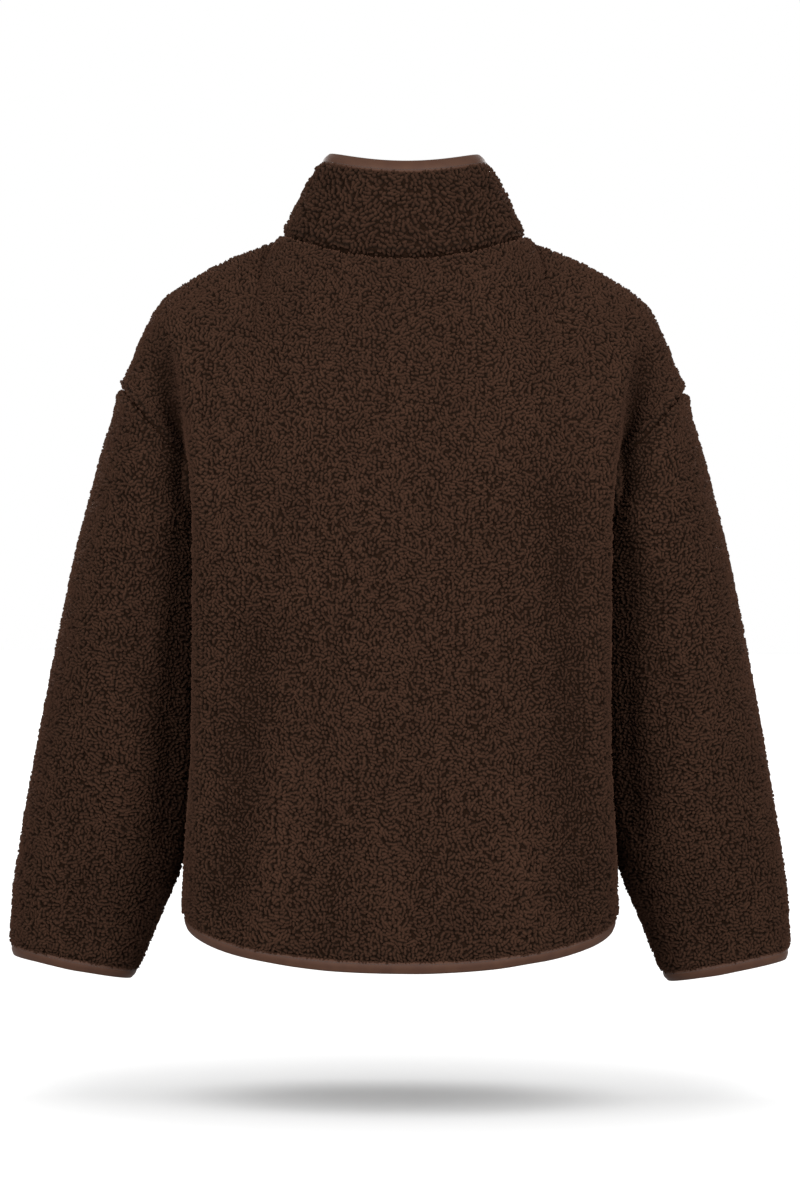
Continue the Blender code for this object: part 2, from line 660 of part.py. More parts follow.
def join_shape(target, name, mesh):
    """Unite a shape with an object, through a Boolean that keeps the shape hidden."""
    data = bpy.data.meshes.new(name)
    mesh.to_mesh(data)
    mesh.free()
    shape = bpy.data.objects.new(name, data)
    bpy.context.collection.objects.link(shape)
    shape.hide_render = True
    shape.display_type = "WIRE"
    union = target.modifiers.new(name, "BOOLEAN")
    union.operation = "UNION"
    union.solver = "EXACT"
    union.object = shape


def pull_outline():
    """Outline (x, z) of the pull about its hinge: shoulders, slim waist and a round end."""
    half = PULL_WIDTH / 2
    waist = half * PULL_WAIST
    top = PULL_BAR / 2
    eye_end = top - PULL_BAR - PULL_EYE_LENGTH
    end_centre = -PULL_LENGTH + half
    right = [(half, top), (half, eye_end), (waist, eye_end - half), (waist, end_centre + half)]
    turns = [math.pi * i / PULL_END_STEPS for i in range(PULL_END_STEPS + 1)]
    arc = [(half * math.cos(turn), end_centre - half * math.sin(turn)) for turn in turns]
    left = [(-x, z) for x, z in reversed(right)]
    return right + arc + left


def add_pull(hinge):
    """Make the pull, its origin on the hinge line, hanging straight down."""
    half = PULL_THICKNESS / 2
    pull = add_object("zip_pull", extrude_outline(pull_outline(), -half, half), METAL, False)
    pull.location = hinge
    eye = box(
        (-PULL_EYE_WIDTH / 2, -PULL_THICKNESS, -PULL_BAR / 2 - PULL_EYE_LENGTH),
        (PULL_EYE_WIDTH / 2, PULL_THICKNESS, -PULL_BAR / 2),
    )
    data = bpy.data.meshes.new("pull_eye")
    eye.to_mesh(data)
    eye.free()
    cutter = bpy.data.objects.new("pull_eye", data)
    bpy.context.collection.objects.link(cutter)
    cutter.parent = pull
    cutter.hide_render = True
    cutter.display_type = "WIRE"
    cut = pull.modifiers.new("eye", "BOOLEAN")
    cut.operation = "DIFFERENCE"
    cut.solver = "EXACT"
    cut.object = cutter


# ---------------------------------------------------------------- objects and materials
def make_material(name, finish):
    """A Principled material with the part's colour, roughness and metallic value."""
    material = bpy.data.materials.new(name)
    material.use_nodes = True
    shader = material.node_tree.nodes["Principled BSDF"]
    shader.inputs["Base Color"].default_value = finish.color
    shader.inputs["Roughness"].default_value = finish.roughness
    shader.inputs["Metallic"].default_value = finish.metallic
    return material


def add_object(name, mesh, finish, smooth=True):
    """Link a named object that holds the mesh and wears its own material."""
    data = bpy.data.meshes.new(name)
    mesh.to_mesh(data)
    mesh.free()
    if smooth:
        data.shade_smooth()
        data.set_sharp_from_angle(angle=SHARP_ANGLE)
    data.materials.append(make_material(name, finish))
    item = bpy.data.objects.new(name, data)
    bpy.context.collection.objects.link(item)
    return item


def clear_scene():
    """Remove every object, so the file holds only the jacket."""
    for item in list(bpy.data.objects):
        bpy.data.objects.remove(item, do_unlink=True)


def build_bindings(finder):
    """Bind the collar, the hem and both cuffs."""
    collar = collar_grid()
    add_object("collar_binding",
               sweep_binding(finder, collar[-1], collar[-2], COLLAR_BINDING_HEIGHT, False),
               BINDING)
    halves = []
    for hand in (LEFT, RIGHT):
        front, back = torso_grid(FRONT, hand), torso_grid(BACK, hand)
        halves.append([front[i] + back[i][-2::-1] for i in (0, 1)])
    hem = [left + right[-2::-1] for left, right in zip(*halves)]
    add_object("hem_binding", sweep_binding(finder, hem[0], hem[1], BINDING_HEIGHT, False),
               BINDING)
    for hand, side in ((LEFT, "left"), (RIGHT, "right")):
        rings = sleeve_grid(hand)
        strip = sweep_binding(finder, rings[-1], rings[-2], BINDING_HEIGHT, True)
        add_object(f"cuff_binding_{side}", strip, BINDING)


def build_zip(finder):
    """Close the front with two tapes, a slider at the top and its pull."""
    collar = collar_grid()
    for hand, side in ((LEFT, "left"), (RIGHT, "right")):
        front = torso_grid(FRONT, hand)
        column = [row[0] for row in front] + [row[0] * (hand, 1, 1) for row in collar[1:]]
        beside = [row[1] for row in front] + [row[1] * (hand, 1, 1) for row in collar[1:]]
        add_object(f"zip_tape_{side}", sweep_tape(finder, column, beside, hand), TAPE, False)
    tape_y = COLLAR_TOP_FRONT_Y + FLEECE_WALL + SEAM_GAP + TAPE_THICKNESS / 2
    add_slider(tape_y)
    plate_y = tape_y - SLIDER_MOUTH / 2 - SLIDER_PLATE
    hinge_y = plate_y - (BRIDGE_HEIGHT - BRIDGE_BAR) / 2
    add_pull((0.0, hinge_y, SLIDER_Z))


def main():
    """Build the jacket."""
    clear_scene()
    skin = build_skin()
    finder = EdgeFinder(skin)
    for panel in PANELS:
        add_object(panel, cut_panel(skin, panel), FLEECE)
    skin.free()
    build_bindings(finder)
    build_zip(finder)


main()
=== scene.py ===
"""High-pile fleece jacket, dressed: curled pile, knit backing, elastic bindings and a moulded zip.

Metres, +Z up. The back faces +Y, the front -Y, and the wearer's left is +X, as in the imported
frame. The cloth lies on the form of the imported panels, from the same sizes and formulas.
"""

import logging
import math
from dataclasses import dataclass, field
from enum import Enum
from typing import Iterable, Sequence

import bmesh
import bpy
import numpy as np
from mathutils import Matrix, Vector


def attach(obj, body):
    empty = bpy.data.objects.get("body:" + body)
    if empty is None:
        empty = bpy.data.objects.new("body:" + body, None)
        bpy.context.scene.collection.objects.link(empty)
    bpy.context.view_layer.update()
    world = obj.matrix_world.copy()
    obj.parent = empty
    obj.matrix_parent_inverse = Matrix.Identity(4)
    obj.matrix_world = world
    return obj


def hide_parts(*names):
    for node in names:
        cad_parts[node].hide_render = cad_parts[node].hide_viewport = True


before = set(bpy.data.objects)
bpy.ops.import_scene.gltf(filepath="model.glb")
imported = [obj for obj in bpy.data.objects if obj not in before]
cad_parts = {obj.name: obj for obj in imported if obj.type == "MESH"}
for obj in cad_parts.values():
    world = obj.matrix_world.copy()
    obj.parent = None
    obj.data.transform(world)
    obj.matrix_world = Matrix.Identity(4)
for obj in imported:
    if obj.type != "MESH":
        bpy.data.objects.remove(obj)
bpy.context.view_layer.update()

log = logging.getLogger("fleece_jacket")

Array = np.ndarray
BMesh = bmesh.types.BMesh
Material, Object = bpy.types.Material, bpy.types.Object
Node, NodeSocket, NodeTree = bpy.types.Node, bpy.types.NodeSocket, bpy.types.NodeTree

JACKET = "jacket"           # the body that everything but the pull rides on
PULL = "pull"
CLOTH_MAP = "cloth"         # UV map in metres along a cloth's rows and columns
CURL_MAP = "OFBake"         # UV map with a cell for each curl
MM = 0.001
MERGE_DISTANCE = 0.00001
SMALLEST_LENGTH = 1e-12     # of a vector, so that none is divided by zero
SHARP = math.radians(30)    # angle from which an edge of a hard piece is rounded
FLAT = math.radians(2)      # angle under which two faces of it count as one
ONE_BAND = 2 / math.tau     # Wave Texture's scale that gives about one band to each unit


class Side(Enum):
    """One of two sides, as the sign of an axis."""

    @property
    def word(self) -> str:
        """Name of the side, as pieces and columns of sizes have it."""
        return self.name.lower()


class Facing(Side):
    """Which side of the jacket a panel is on, as the sign of Y."""

    BACK = 1
    FRONT = -1


class Hand(Side):
    """Which side of the wearer a panel is on, as the sign of X."""

    LEFT = 1
    RIGHT = -1


class Edge(Enum):
    """How a panel ends: how deep its face dips, over what distance, and how it swells beside."""

    DEEP_SEAM = (0.0036, 0.0030, 0.0012)
    ROLLED_SEAM = (0.0036, 0.0026, 0.0020)
    SOFT_SEAM = (0.0014, 0.0040, 0.0002)
    BOUND = (0.0015, 0.0035, 0.0004)
    ZIPPED = (0.0022, 0.0050, 0.0004)


# ---------------------------------------------------------------- curves and tables
def cubic(start: Array, leave: Array, arrive: Array, end: Array, t: Array) -> Array:
    """Value at t on the cubic curve with these four control values.

    Args:
        start: Value at t = 0.
        leave: Control value that sets how the curve leaves its start.
        arrive: Control value that sets how it arrives at its end.
        end: Value at t = 1.
        t: Places on the curve, from 0 to 1.

    Returns:
        The values, in the shape that the arguments broadcast to.
    """
    rest = 1 - t
    return rest**3 * start + 3 * rest**2 * t * leave + 3 * rest * t**2 * arrive + t**3 * end


def smooth_step(value: Array) -> Array:
    """Ease from 0 to 1 as the value goes from 0 to 1."""
    value = np.clip(value, 0.0, 1.0)
    return value * value * (3 - 2 * value)


def between(start: Array, end: Array, share: Array) -> Array:
    """Value at a share of the way from a start to an end."""
    return start + (end - start) * share


def unit(vectors: Array) -> Array:
    """Vectors of length 1 along the last axis."""
    return vectors / np.maximum(np.linalg.norm(vectors, axis=-1, keepdims=True), SMALLEST_LENGTH)


def crowd(count: int, places: Sequence[float] = (), share: float = 0.08,
          closeness: float = 4.0) -> Array:
    """Values from 0 to 1 that lie closer together near some places.

    Args:
        count: How many steps there are.
        places: Shares of the count that the values crowd round.
        share: Reach of the crowding.
        closeness: How many times closer they lie at such a place, less one.

    Returns:
        The values, one more than the steps.
    """
    t = (np.arange(count) + 0.5) / count
    near = sum((np.exp(-(((t - place) / share) ** 2)) for place in places), np.zeros(count))
    steps = 1 / (1 + closeness * near)
    return np.concatenate([[0.0], np.cumsum(steps) / np.sum(steps)])


class Table:
    """Rows of named sizes that are read along smooth curves between the rows."""

    def __init__(self, columns: str, rows: Sequence[Sequence[float]]) -> None:
        """Keep the rows, the first column being the key that they are read by.

        Args:
            columns: Names of the columns, with spaces between them.
            rows: One sequence of numbers for each row.
        """
        self.columns = columns.split()
        self.rows = np.array(rows, dtype=float)
        self.keys = self.rows[:, 0]
        self.slopes = np.gradient(self.rows, self.keys, axis=0)

    def read(self, key: Array) -> dict[str, Array]:
        """Read every column at some keys.

        Args:
            key: The keys, in any shape.

        Returns:
            Each column's values by its name, in the keys' shape.
        """
        key = np.asarray(key, dtype=float)
        first = np.clip(np.searchsorted(self.keys, key) - 1, 0, len(self.keys) - 2)
        span = self.keys[first + 1] - self.keys[first]
        t = ((key - self.keys[first]) / span)[..., None]
        span = span[..., None]
        start_weight = 2 * t**3 - 3 * t**2 + 1
        values = (
            start_weight * self.rows[first]
            + (1 - start_weight) * self.rows[first + 1]
            + (t**3 - 2 * t**2 + t) * span * self.slopes[first]
            + (t**3 - t**2) * span * self.slopes[first + 1]
        )
        return {name: values[..., i] for i, name in enumerate(self.columns)}

    def points(self, key: Array, prefix: str = "") -> Array:
        """Read the points that three of the columns hold.

        Args:
            key: The keys, in any shape.
            prefix: What stands before x, y and z in the names of those columns.

        Returns:
            The points, in the keys' shape.
        """
        row = self.read(key)
        return np.stack([row[prefix + axis] for axis in "xyz"], axis=-1)


# ---------------------------------------------------------------- the jacket's cut and form
UNDERARM_Z = -0.217
ARMHOLE_HALF_DEPTH = 0.080
HALF_LOOP = 4 / 3           # handle of a cubic round a half loop, as a share of its depth
ARMHOLE_REACH = ARMHOLE_HALF_DEPTH * HALF_LOOP

# Torso sections from the hem (level 0) to the underarm (level 1).
TORSO_SECTIONS = Table(
    "level back_y back_fold_y fold_x side_x front_fold_y front_y",
    (
        (0.00, 0.142, 0.058, 0.1858, 0.1865, -0.058, -0.143),
        (0.10, 0.142, 0.066, 0.1850, 0.1835, -0.066, -0.143),
        (0.25, 0.140, 0.075, 0.1820, 0.1730, -0.075, -0.141),
        (0.42, 0.138, 0.081, 0.1785, 0.1640, -0.081, -0.139),
        (0.60, 0.136, 0.085, 0.1775, 0.1585, -0.084, -0.137),
        (0.80, 0.135, 0.088, 0.1775, 0.1560, -0.086, -0.136),
        (0.92, 0.135, 0.090, 0.1775, 0.1560, -0.087, -0.136),
        (0.97, 0.135, 0.091, 0.1775, 0.1582, -0.087, -0.136),
        (1.00, 0.135, 0.091, 0.1775, 0.1625, -0.087, -0.136),
    ),
)
# The shoulder seam, from the neck point to the sleeve's top.
SHOULDER_SEAM = Table(
    "share x y z",
    (
        (0.36, 0.1037, -0.0090, -0.0010),
        (0.45, 0.1330, -0.0120, -0.0118),
        (0.55, 0.1690, -0.0120, -0.0290),
        (0.67, 0.2080, -0.0110, -0.0555),
        (0.78, 0.2235, -0.0090, -0.0810),
        (0.90, 0.2365, -0.0040, -0.1130),
        (1.00, 0.2455, 0.0000, -0.1330),
    ),
)
HANDLE_COLUMNS = "share foot_x foot_y foot_z head_x head_y head_z"
# How the upper torso leaves the chest row (foot) and arrives at its upper edge (head).
HANDLES = {
    Facing.BACK: Table(
        HANDLE_COLUMNS,
        (
            (0.00, 0.000, 0.002, 0.110, 0.000, 0.024, -0.030),
            (0.10, 0.000, 0.002, 0.110, 0.008, 0.027, -0.028),
            (0.20, 0.000, 0.003, 0.108, 0.018, 0.025, -0.020),
            (0.29, 0.000, 0.004, 0.107, 0.022, 0.019, -0.012),
            (0.36, 0.000, 0.004, 0.106, 0.026, 0.034, -0.011),
            (0.45, 0.000, 0.005, 0.104, 0.013, 0.052, -0.007),
            (0.55, 0.000, 0.006, 0.101, 0.005, 0.064, -0.003),
            (0.67, 0.001, 0.008, 0.098, 0.001, 0.072, 0.002),
            (0.84, 0.000, 0.038, 0.056, 0.001, 0.074, 0.002),
            (1.00, 0.000, ARMHOLE_REACH, 0.000, 0.000, ARMHOLE_REACH, 0.000),
        ),
    ),
    Facing.FRONT: Table(
        HANDLE_COLUMNS,
        (
            (0.00, 0.000, -0.001, 0.090, 0.000, -0.022, -0.030),
            (0.10, 0.000, -0.002, 0.091, 0.008, -0.025, -0.029),
            (0.20, 0.000, -0.002, 0.092, 0.017, -0.024, -0.024),
            (0.29, 0.000, -0.003, 0.093, 0.023, -0.019, -0.017),
            (0.36, 0.000, -0.003, 0.094, 0.026, -0.032, -0.018),
            (0.45, 0.000, -0.004, 0.094, 0.013, -0.047, -0.018),
            (0.55, 0.000, -0.005, 0.094, 0.005, -0.058, -0.017),
            (0.67, 0.001, -0.007, 0.094, 0.001, -0.066, -0.014),
            (0.84, 0.000, -0.038, 0.056, 0.001, -0.070, -0.008),
            (1.00, 0.000, -ARMHOLE_REACH, 0.000, 0.000, -ARMHOLE_REACH, 0.000),
        ),
    ),
}
# Sleeve rings from the armhole (level 0) to the cuff (level 1).
SLEEVE_RINGS = Table(
    "level outer_x outer_z inner_x inner_z centre_y half_depth",
    (
        (0.00, 0.2455, -0.1330, 0.1625, -0.2170, 0.000, 0.080),
        (0.05, 0.2510, -0.1580, 0.1660, -0.2235, -0.001, 0.084),
        (0.11, 0.2608, -0.1900, 0.1668, -0.2350, -0.002, 0.086),
        (0.17, 0.2692, -0.2220, 0.1665, -0.2520, -0.004, 0.085),
        (0.25, 0.2800, -0.2620, 0.1665, -0.2830, -0.007, 0.082),
        (0.35, 0.2908, -0.3100, 0.1672, -0.3260, -0.012, 0.078),
        (0.48, 0.3032, -0.3700, 0.1695, -0.3840, -0.019, 0.073),
        (0.60, 0.3142, -0.4250, 0.1735, -0.4410, -0.026, 0.068),
        (0.70, 0.3238, -0.4750, 0.1800, -0.4930, -0.033, 0.062),
        (0.82, 0.3335, -0.5300, 0.1915, -0.5510, -0.039, 0.055),
        (0.92, 0.3400, -0.5750, 0.2105, -0.5970, -0.043, 0.048),
        (1.00, 0.3425, -0.6190, 0.2285, -0.6412, -0.046, 0.042),
    ),
)


@dataclass(frozen=True)
class Crease:
    """A soft trough (negative depth) or ridge down a face, from its top to its foot."""

    facing: Facing
    top_x: float
    top_z: float
    foot_x: float
    foot_z: float
    half_width: float
    depth: float
    fade: float = 0.05          # length over which it begins and ends
    steep: float = 1.0          # its width towards the centre of the body, as a share
    bow: float = 0.0            # how far its middle lies nearer to that centre

    def offset(self, x: Array, z: Array) -> Array:
        """How far it pushes the face outwards.

        Args:
            x: Places across the face.
            z: And their heights.

        Returns:
            The push at each place, inwards where it is negative.
        """
        along = (z - self.top_z) / (self.foot_z - self.top_z)
        centre_x = between(self.top_x, self.foot_x, along)
        side = np.sign(centre_x)
        centre_x = centre_x - side * self.bow * 4 * np.clip(along * (1 - along), 0, 1)
        out = (x - centre_x) * side
        width = self.half_width * np.where(out < 0, self.steep, 1.0)
        fade = self.fade / abs(self.top_z - self.foot_z)
        strength = smooth_step(along / fade) * smooth_step((1 + fade - along) / fade)
        return self.depth * strength * np.exp(-((out / width) ** 2))


B, F = Facing.BACK, Facing.FRONT
# The deep folds beside the dropped shoulders, which cross the armhole seams, and their lips.
SHOULDER_FOLDS = (
    Crease(B, 0.2030, -0.086, 0.1868, -0.215, 0.020, -0.0130, 0.035, 0.16, 0.0050),
    Crease(B, 0.1915, -0.086, 0.1765, -0.215, 0.007, 0.0022, 0.035, 1.0, 0.0050),
    Crease(B, -0.2030, -0.088, -0.1868, -0.215, 0.020, -0.0130, 0.035, 0.16, 0.0050),
    Crease(B, -0.1915, -0.088, -0.1765, -0.215, 0.007, 0.0020, 0.035, 1.0, 0.0050),
    Crease(F, 0.2025, -0.096, 0.1860, -0.215, 0.021, -0.0085, 0.035, 0.25, 0.0045),
    Crease(F, -0.2030, -0.092, -0.1865, -0.215, 0.019, -0.0090, 0.035, 0.25, 0.0050),
)
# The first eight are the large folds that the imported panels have; the others are fainter.
TORSO_CREASES = (
    Crease(B, 0.121, -0.31, 0.142, -0.56, 0.022, -0.006),
    Crease(B, -0.131, -0.20, -0.150, -0.55, 0.020, -0.006),
    Crease(B, 0.096, -0.42, 0.117, -0.60, 0.018, 0.004),
    Crease(B, -0.084, -0.45, -0.109, -0.59, 0.018, 0.004),
    Crease(F, 0.118, -0.24, 0.138, -0.54, 0.021, -0.006),
    Crease(F, -0.110, -0.30, -0.136, -0.56, 0.021, -0.006),
    Crease(F, 0.084, -0.43, 0.104, -0.59, 0.018, 0.004),
    Crease(F, -0.074, -0.40, -0.100, -0.58, 0.018, 0.004),
    Crease(B, 0.0165, -0.47, 0.012, -0.57, 0.014, 0.0020),
    Crease(B, 0.055, -0.50, 0.060, -0.60, 0.013, -0.0022),
    Crease(B, -0.016, -0.48, -0.024, -0.60, 0.013, -0.0018),
    Crease(B, 0.150, -0.12, 0.168, -0.24, 0.016, 0.0025),
    Crease(B, -0.152, -0.10, -0.166, -0.22, 0.014, 0.0028),
    Crease(B, 0.168, -0.36, 0.172, -0.50, 0.009, 0.0020),
    Crease(B, -0.163, -0.30, -0.170, -0.47, 0.008, 0.0018),
    Crease(F, 0.030, -0.44, 0.036, -0.60, 0.015, -0.0020),
    Crease(F, -0.034, -0.49, -0.030, -0.60, 0.013, -0.0018),
    Crease(F, 0.150, -0.13, 0.165, -0.25, 0.015, 0.0025),
    Crease(F, -0.148, -0.11, -0.166, -0.22, 0.016, 0.0026),
    Crease(F, 0.060, -0.10, 0.100, -0.20, 0.020, -0.0015),
    Crease(F, -0.066, -0.12, -0.104, -0.21, 0.018, -0.0015),
)
# Creases of a sleeve, given for the wearer's left one; the right one has its own.
SLEEVE_CREASES = {
    Hand.LEFT: (
        Crease(B, 0.190, -0.23, 0.199, -0.51, 0.012, -0.0055, 0.04),
        Crease(F, 0.191, -0.23, 0.200, -0.50, 0.012, -0.0055, 0.04),
        Crease(B, 0.196, -0.24, 0.222, -0.34, 0.012, -0.0030),
        Crease(B, 0.232, -0.34, 0.208, -0.43, 0.014, -0.0030),
        Crease(B, 0.262, -0.37, 0.244, -0.49, 0.015, 0.0022),
        Crease(B, 0.262, -0.52, 0.278, -0.60, 0.013, -0.0026),
        Crease(B, 0.300, -0.50, 0.316, -0.60, 0.012, 0.0018),
        Crease(F, 0.204, -0.27, 0.240, -0.38, 0.013, -0.0032),
        Crease(F, 0.250, -0.38, 0.214, -0.45, 0.013, -0.0034),
        Crease(F, 0.250, -0.46, 0.286, -0.53, 0.013, -0.0028),
        Crease(F, 0.248, -0.53, 0.262, -0.61, 0.012, 0.0020),
    ),
    Hand.RIGHT: (
        Crease(B, 0.190, -0.23, 0.198, -0.49, 0.012, -0.0055, 0.04),
        Crease(F, 0.190, -0.23, 0.201, -0.51, 0.012, -0.0055, 0.04),
        Crease(B, 0.192, -0.25, 0.216, -0.36, 0.013, -0.0030),
        Crease(B, 0.240, -0.39, 0.214, -0.47, 0.013, -0.0028),
        Crease(B, 0.270, -0.34, 0.256, -0.45, 0.015, 0.0022),
        Crease(B, 0.252, -0.53, 0.270, -0.61, 0.013, -0.0026),
        Crease(F, 0.206, -0.26, 0.236, -0.35, 0.013, -0.0030),
        Crease(F, 0.256, -0.36, 0.216, -0.44, 0.014, -0.0034),
        Crease(F, 0.244, -0.45, 0.284, -0.50, 0.012, -0.0028),
        Crease(F, 0.266, -0.52, 0.280, -0.60, 0.013, 0.0020),
    ),
}


@dataclass(frozen=True)
class JacketForm:
    """The outer face of the whole jacket, worked out from the same sizes as the panels."""

    fleece_wall: float = 0.0065
    chest_drop: float = 0.040
    hem_side_z: float = -0.574
    hem_back_drop: float = 0.044
    hem_front_drop: float = 0.035
    hem_drop_power: float = 1.6
    neck_share: float = 0.36
    crest_share: float = 0.67
    centre_handle: float = 0.62
    crest_handle: float = 0.55
    side_handle: float = 0.42
    neck_half_width: float = 0.1045
    neck_back_y: float = 0.073
    neck_front_y: float = -0.078
    neck_back_drop: float = 0.023
    neck_front_drop: float = 0.062
    neck_point_angle: float = math.radians(97)
    collar_top_half_width: float = 0.0735
    collar_top_back_y: float = 0.052
    collar_top_front_y: float = -0.078
    collar_top_z: float = 0.0635
    collar_back_drop: float = 0.0115
    collar_front_drop: float = 0.0595
    collar_belly: float = 0.0025
    zip_slot: float = 0.011
    crease_side_margin: float = 0.06
    fold_column: float = 0.38       # where the shoulder fold crosses the columns past the neck
    fold_crowding: float = 0.11     # reach of the closer columns there
    collar_crowding: float = 0.15   # reach of the closer rows at the collar's edges

    def section(self, facing: Facing, shares: Array, levels: Array) -> tuple[Array, Array]:
        """Places on the torso's sections.

        Args:
            facing: Back or front.
            shares: How far they are from the centre (0) to the side (1).
            levels: How far they are from the hem (0) to the underarm (1).

        Returns:
            Their x and their y.
        """
        row = TORSO_SECTIONS.read(levels)
        centre_y, fold_y = row[f"{facing.word}_y"], row[f"{facing.word}_fold_y"]
        fold_x, side_x = row["fold_x"], row["side_x"]
        centre_x = 0.0 if facing is Facing.BACK else self.zip_slot / 2
        crest_y = between(fold_y, centre_y, self.crest_handle)
        t = np.clip(shares / self.crest_share, 0, 1)
        x_in = cubic(centre_x, self.centre_handle * fold_x, fold_x, fold_x, t)
        y_in = cubic(centre_y, centre_y, crest_y, fold_y, t)
        t = np.clip((shares - self.crest_share) / (1 - self.crest_share), 0, 1)
        x_out = cubic(fold_x, fold_x, side_x, side_x, t)
        y_out = cubic(fold_y, (1 - self.side_handle) * fold_y, self.side_handle * fold_y, 0, t)
        within = shares <= self.crest_share
        return np.where(within, x_in, x_out), np.where(within, y_in, y_out)

    def lower(self, facing: Facing, shares: Array, levels: Array) -> Array:
        """Points between the hem and the underarm row.

        Args:
            facing: Back or front.
            shares: How far they are from the centre (0) to the side (1).
            levels: How far they are from the hem (0) to the underarm row (1).

        Returns:
            The points.
        """
        x, y = self.section(facing, shares, levels)
        centre_y = TORSO_SECTIONS.read(levels)[f"{facing.word}_y"]
        drop = self.hem_back_drop if facing is Facing.BACK else self.hem_front_drop
        low = self.hem_side_z - drop * np.clip(y / centre_y, 0, 1) ** self.hem_drop_power
        from_side = np.minimum((1 - shares) / (1 - self.crest_share), 1.0)
        chest = UNDERARM_Z - self.chest_drop * (1 - (1 - from_side) ** 3)
        return np.stack(np.broadcast_arrays(x, y, between(low, chest, levels)), axis=-1)

    def collar(self, facing: Facing, shares: Array, heights: Array) -> Array:
        """Points of the collar.

        Args:
            facing: Back or front.
            shares: The torso's shares below them, from the centre to the neck point.
            heights: How far they are from the neckline (0) to the top edge (1).

        Returns:
            The points.
        """
        half_width = between(self.neck_half_width, self.collar_top_half_width, heights)
        if facing is Facing.BACK:
            angle = self.neck_point_angle * shares / self.neck_share
        else:
            edge = math.pi - np.arcsin(self.zip_slot / 2 / half_width)
            angle = edge + (self.neck_point_angle - edge) * shares / self.neck_share
        toward = np.cos(angle)
        behind = toward > 0
        back_reach = between(self.neck_back_y, self.collar_top_back_y, heights)
        front_reach = between(self.neck_front_y, self.collar_top_front_y, heights)
        reach = np.where(behind, back_reach, -front_reach)
        low = -np.where(behind, self.neck_back_drop, self.neck_front_drop) * toward**2
        drop = np.where(behind, self.collar_back_drop, self.collar_front_drop)
        high = self.collar_top_z - drop * toward**2
        belly = 1 + self.collar_belly / self.neck_half_width * np.sin(math.pi * heights)
        x = half_width * np.sin(angle)
        x = np.where(np.abs(x) > self.zip_slot / 2 + MERGE_DISTANCE, x * belly, x)
        y = reach * toward * belly
        return np.stack(np.broadcast_arrays(x, y, between(low, high, heights)), axis=-1)

    def upper(self, facing: Facing, shares: Array, levels: Array) -> Array:
        """Points between the underarm row and the torso's upper edge.

        Args:
            facing: Back or front.
            shares: How far they are from the centre (0) to the armhole's foot (1).
            levels: How far they are from the underarm row (0) to the upper edge (1).

        Returns:
            The points.
        """
        foot = self.lower(facing, shares, np.float64(1.0))
        seam = SHOULDER_SEAM.points(np.maximum(shares, self.neck_share))
        neck = self.collar(facing, np.minimum(shares, self.neck_share), np.float64(0.0))
        on_neck = (shares <= self.neck_share + MERGE_DISTANCE)[..., None]
        head = np.where(on_neck, neck, seam)
        leave = foot + HANDLES[facing].points(shares, "foot_")
        arrive = head + HANDLES[facing].points(shares, "head_")
        return cubic(foot, leave, arrive, head, levels[..., None])

    def torso_half(self, facing: Facing, hand: Hand, columns: int, rows: tuple[int, int],
                   creased: bool = True) -> Array:
        """Grid of points, from the hem up, of half the back or one front.

        Args:
            facing: Back or front.
            hand: Which half.
            columns: Steps from the centre to the side.
            rows: Steps below and above the underarm.
            creased: False for the form without its creases.

        Returns:
            Points, rows from the hem up by columns from the centre outwards.
        """
        on_neck = round(columns * self.neck_share)
        shares = np.concatenate([
            self.neck_share * crowd(on_neck, (0,) if facing is Facing.FRONT else ()),
            between(self.neck_share, 1, crowd(
                columns - on_neck, (self.fold_column, 1), self.fold_crowding)[1:]),
        ])[None, :]
        low = self.lower(facing, shares, crowd(rows[0], (0,))[:-1, None])
        high = self.upper(facing, shares, crowd(rows[1], (1,))[:, None])
        points = np.concatenate([low, high])
        points[..., 0] *= hand.value
        clear = smooth_step(np.abs(points[..., 1]) / self.crease_side_margin)
        for crease in (*TORSO_CREASES, *SHOULDER_FOLDS) if creased else ():
            if crease.facing is facing:
                offset = crease.offset(points[..., 0], points[..., 2])
                points[..., 1] += facing.value * clear * offset
        return points

    def sleeve(self, hand: Hand, around: int, along: int, creased: bool = True) -> Array:
        """Grid of closed rings of one sleeve.

        Args:
            hand: Which sleeve.
            around: Steps round it.
            along: Steps from the armhole to the cuff.
            creased: False for the form without its creases.

        Returns:
            Points, rings from the armhole down, each with its last point on its first.
        """
        ring = SLEEVE_RINGS.read(crowd(along, (0, 1))[:, None])
        climbs = np.linspace(0, 1, around // 2 + 1)
        halves = []
        for facing, climb in ((Facing.BACK, climbs), (Facing.FRONT, climbs[::-1])):
            reach = ring["centre_y"] + facing.value * ring["half_depth"] * HALF_LOOP
            x = cubic(ring["inner_x"], ring["inner_x"], ring["outer_x"], ring["outer_x"], climb)
            y = cubic(ring["centre_y"], reach, reach, ring["centre_y"], climb)
            z = cubic(ring["inner_z"], ring["inner_z"], ring["outer_z"], ring["outer_z"], climb)
            clear = smooth_step(np.abs(y - ring["centre_y"]) / ring["half_depth"])
            laid = clear * sum(crease.offset(x, z) for crease in SLEEVE_CREASES[hand]
                               if crease.facing is facing)
            clear = smooth_step(np.abs(y) / self.crease_side_margin)
            laid += clear * sum(crease.offset(hand.value * x, z) for crease in SHOULDER_FOLDS
                                if crease.facing is facing)
            y = y + facing.value * laid * creased
            halves.append(np.stack([x * hand.value, y, z], axis=-1))
        return np.concatenate([halves[0][:, :-1], halves[1]], axis=1)

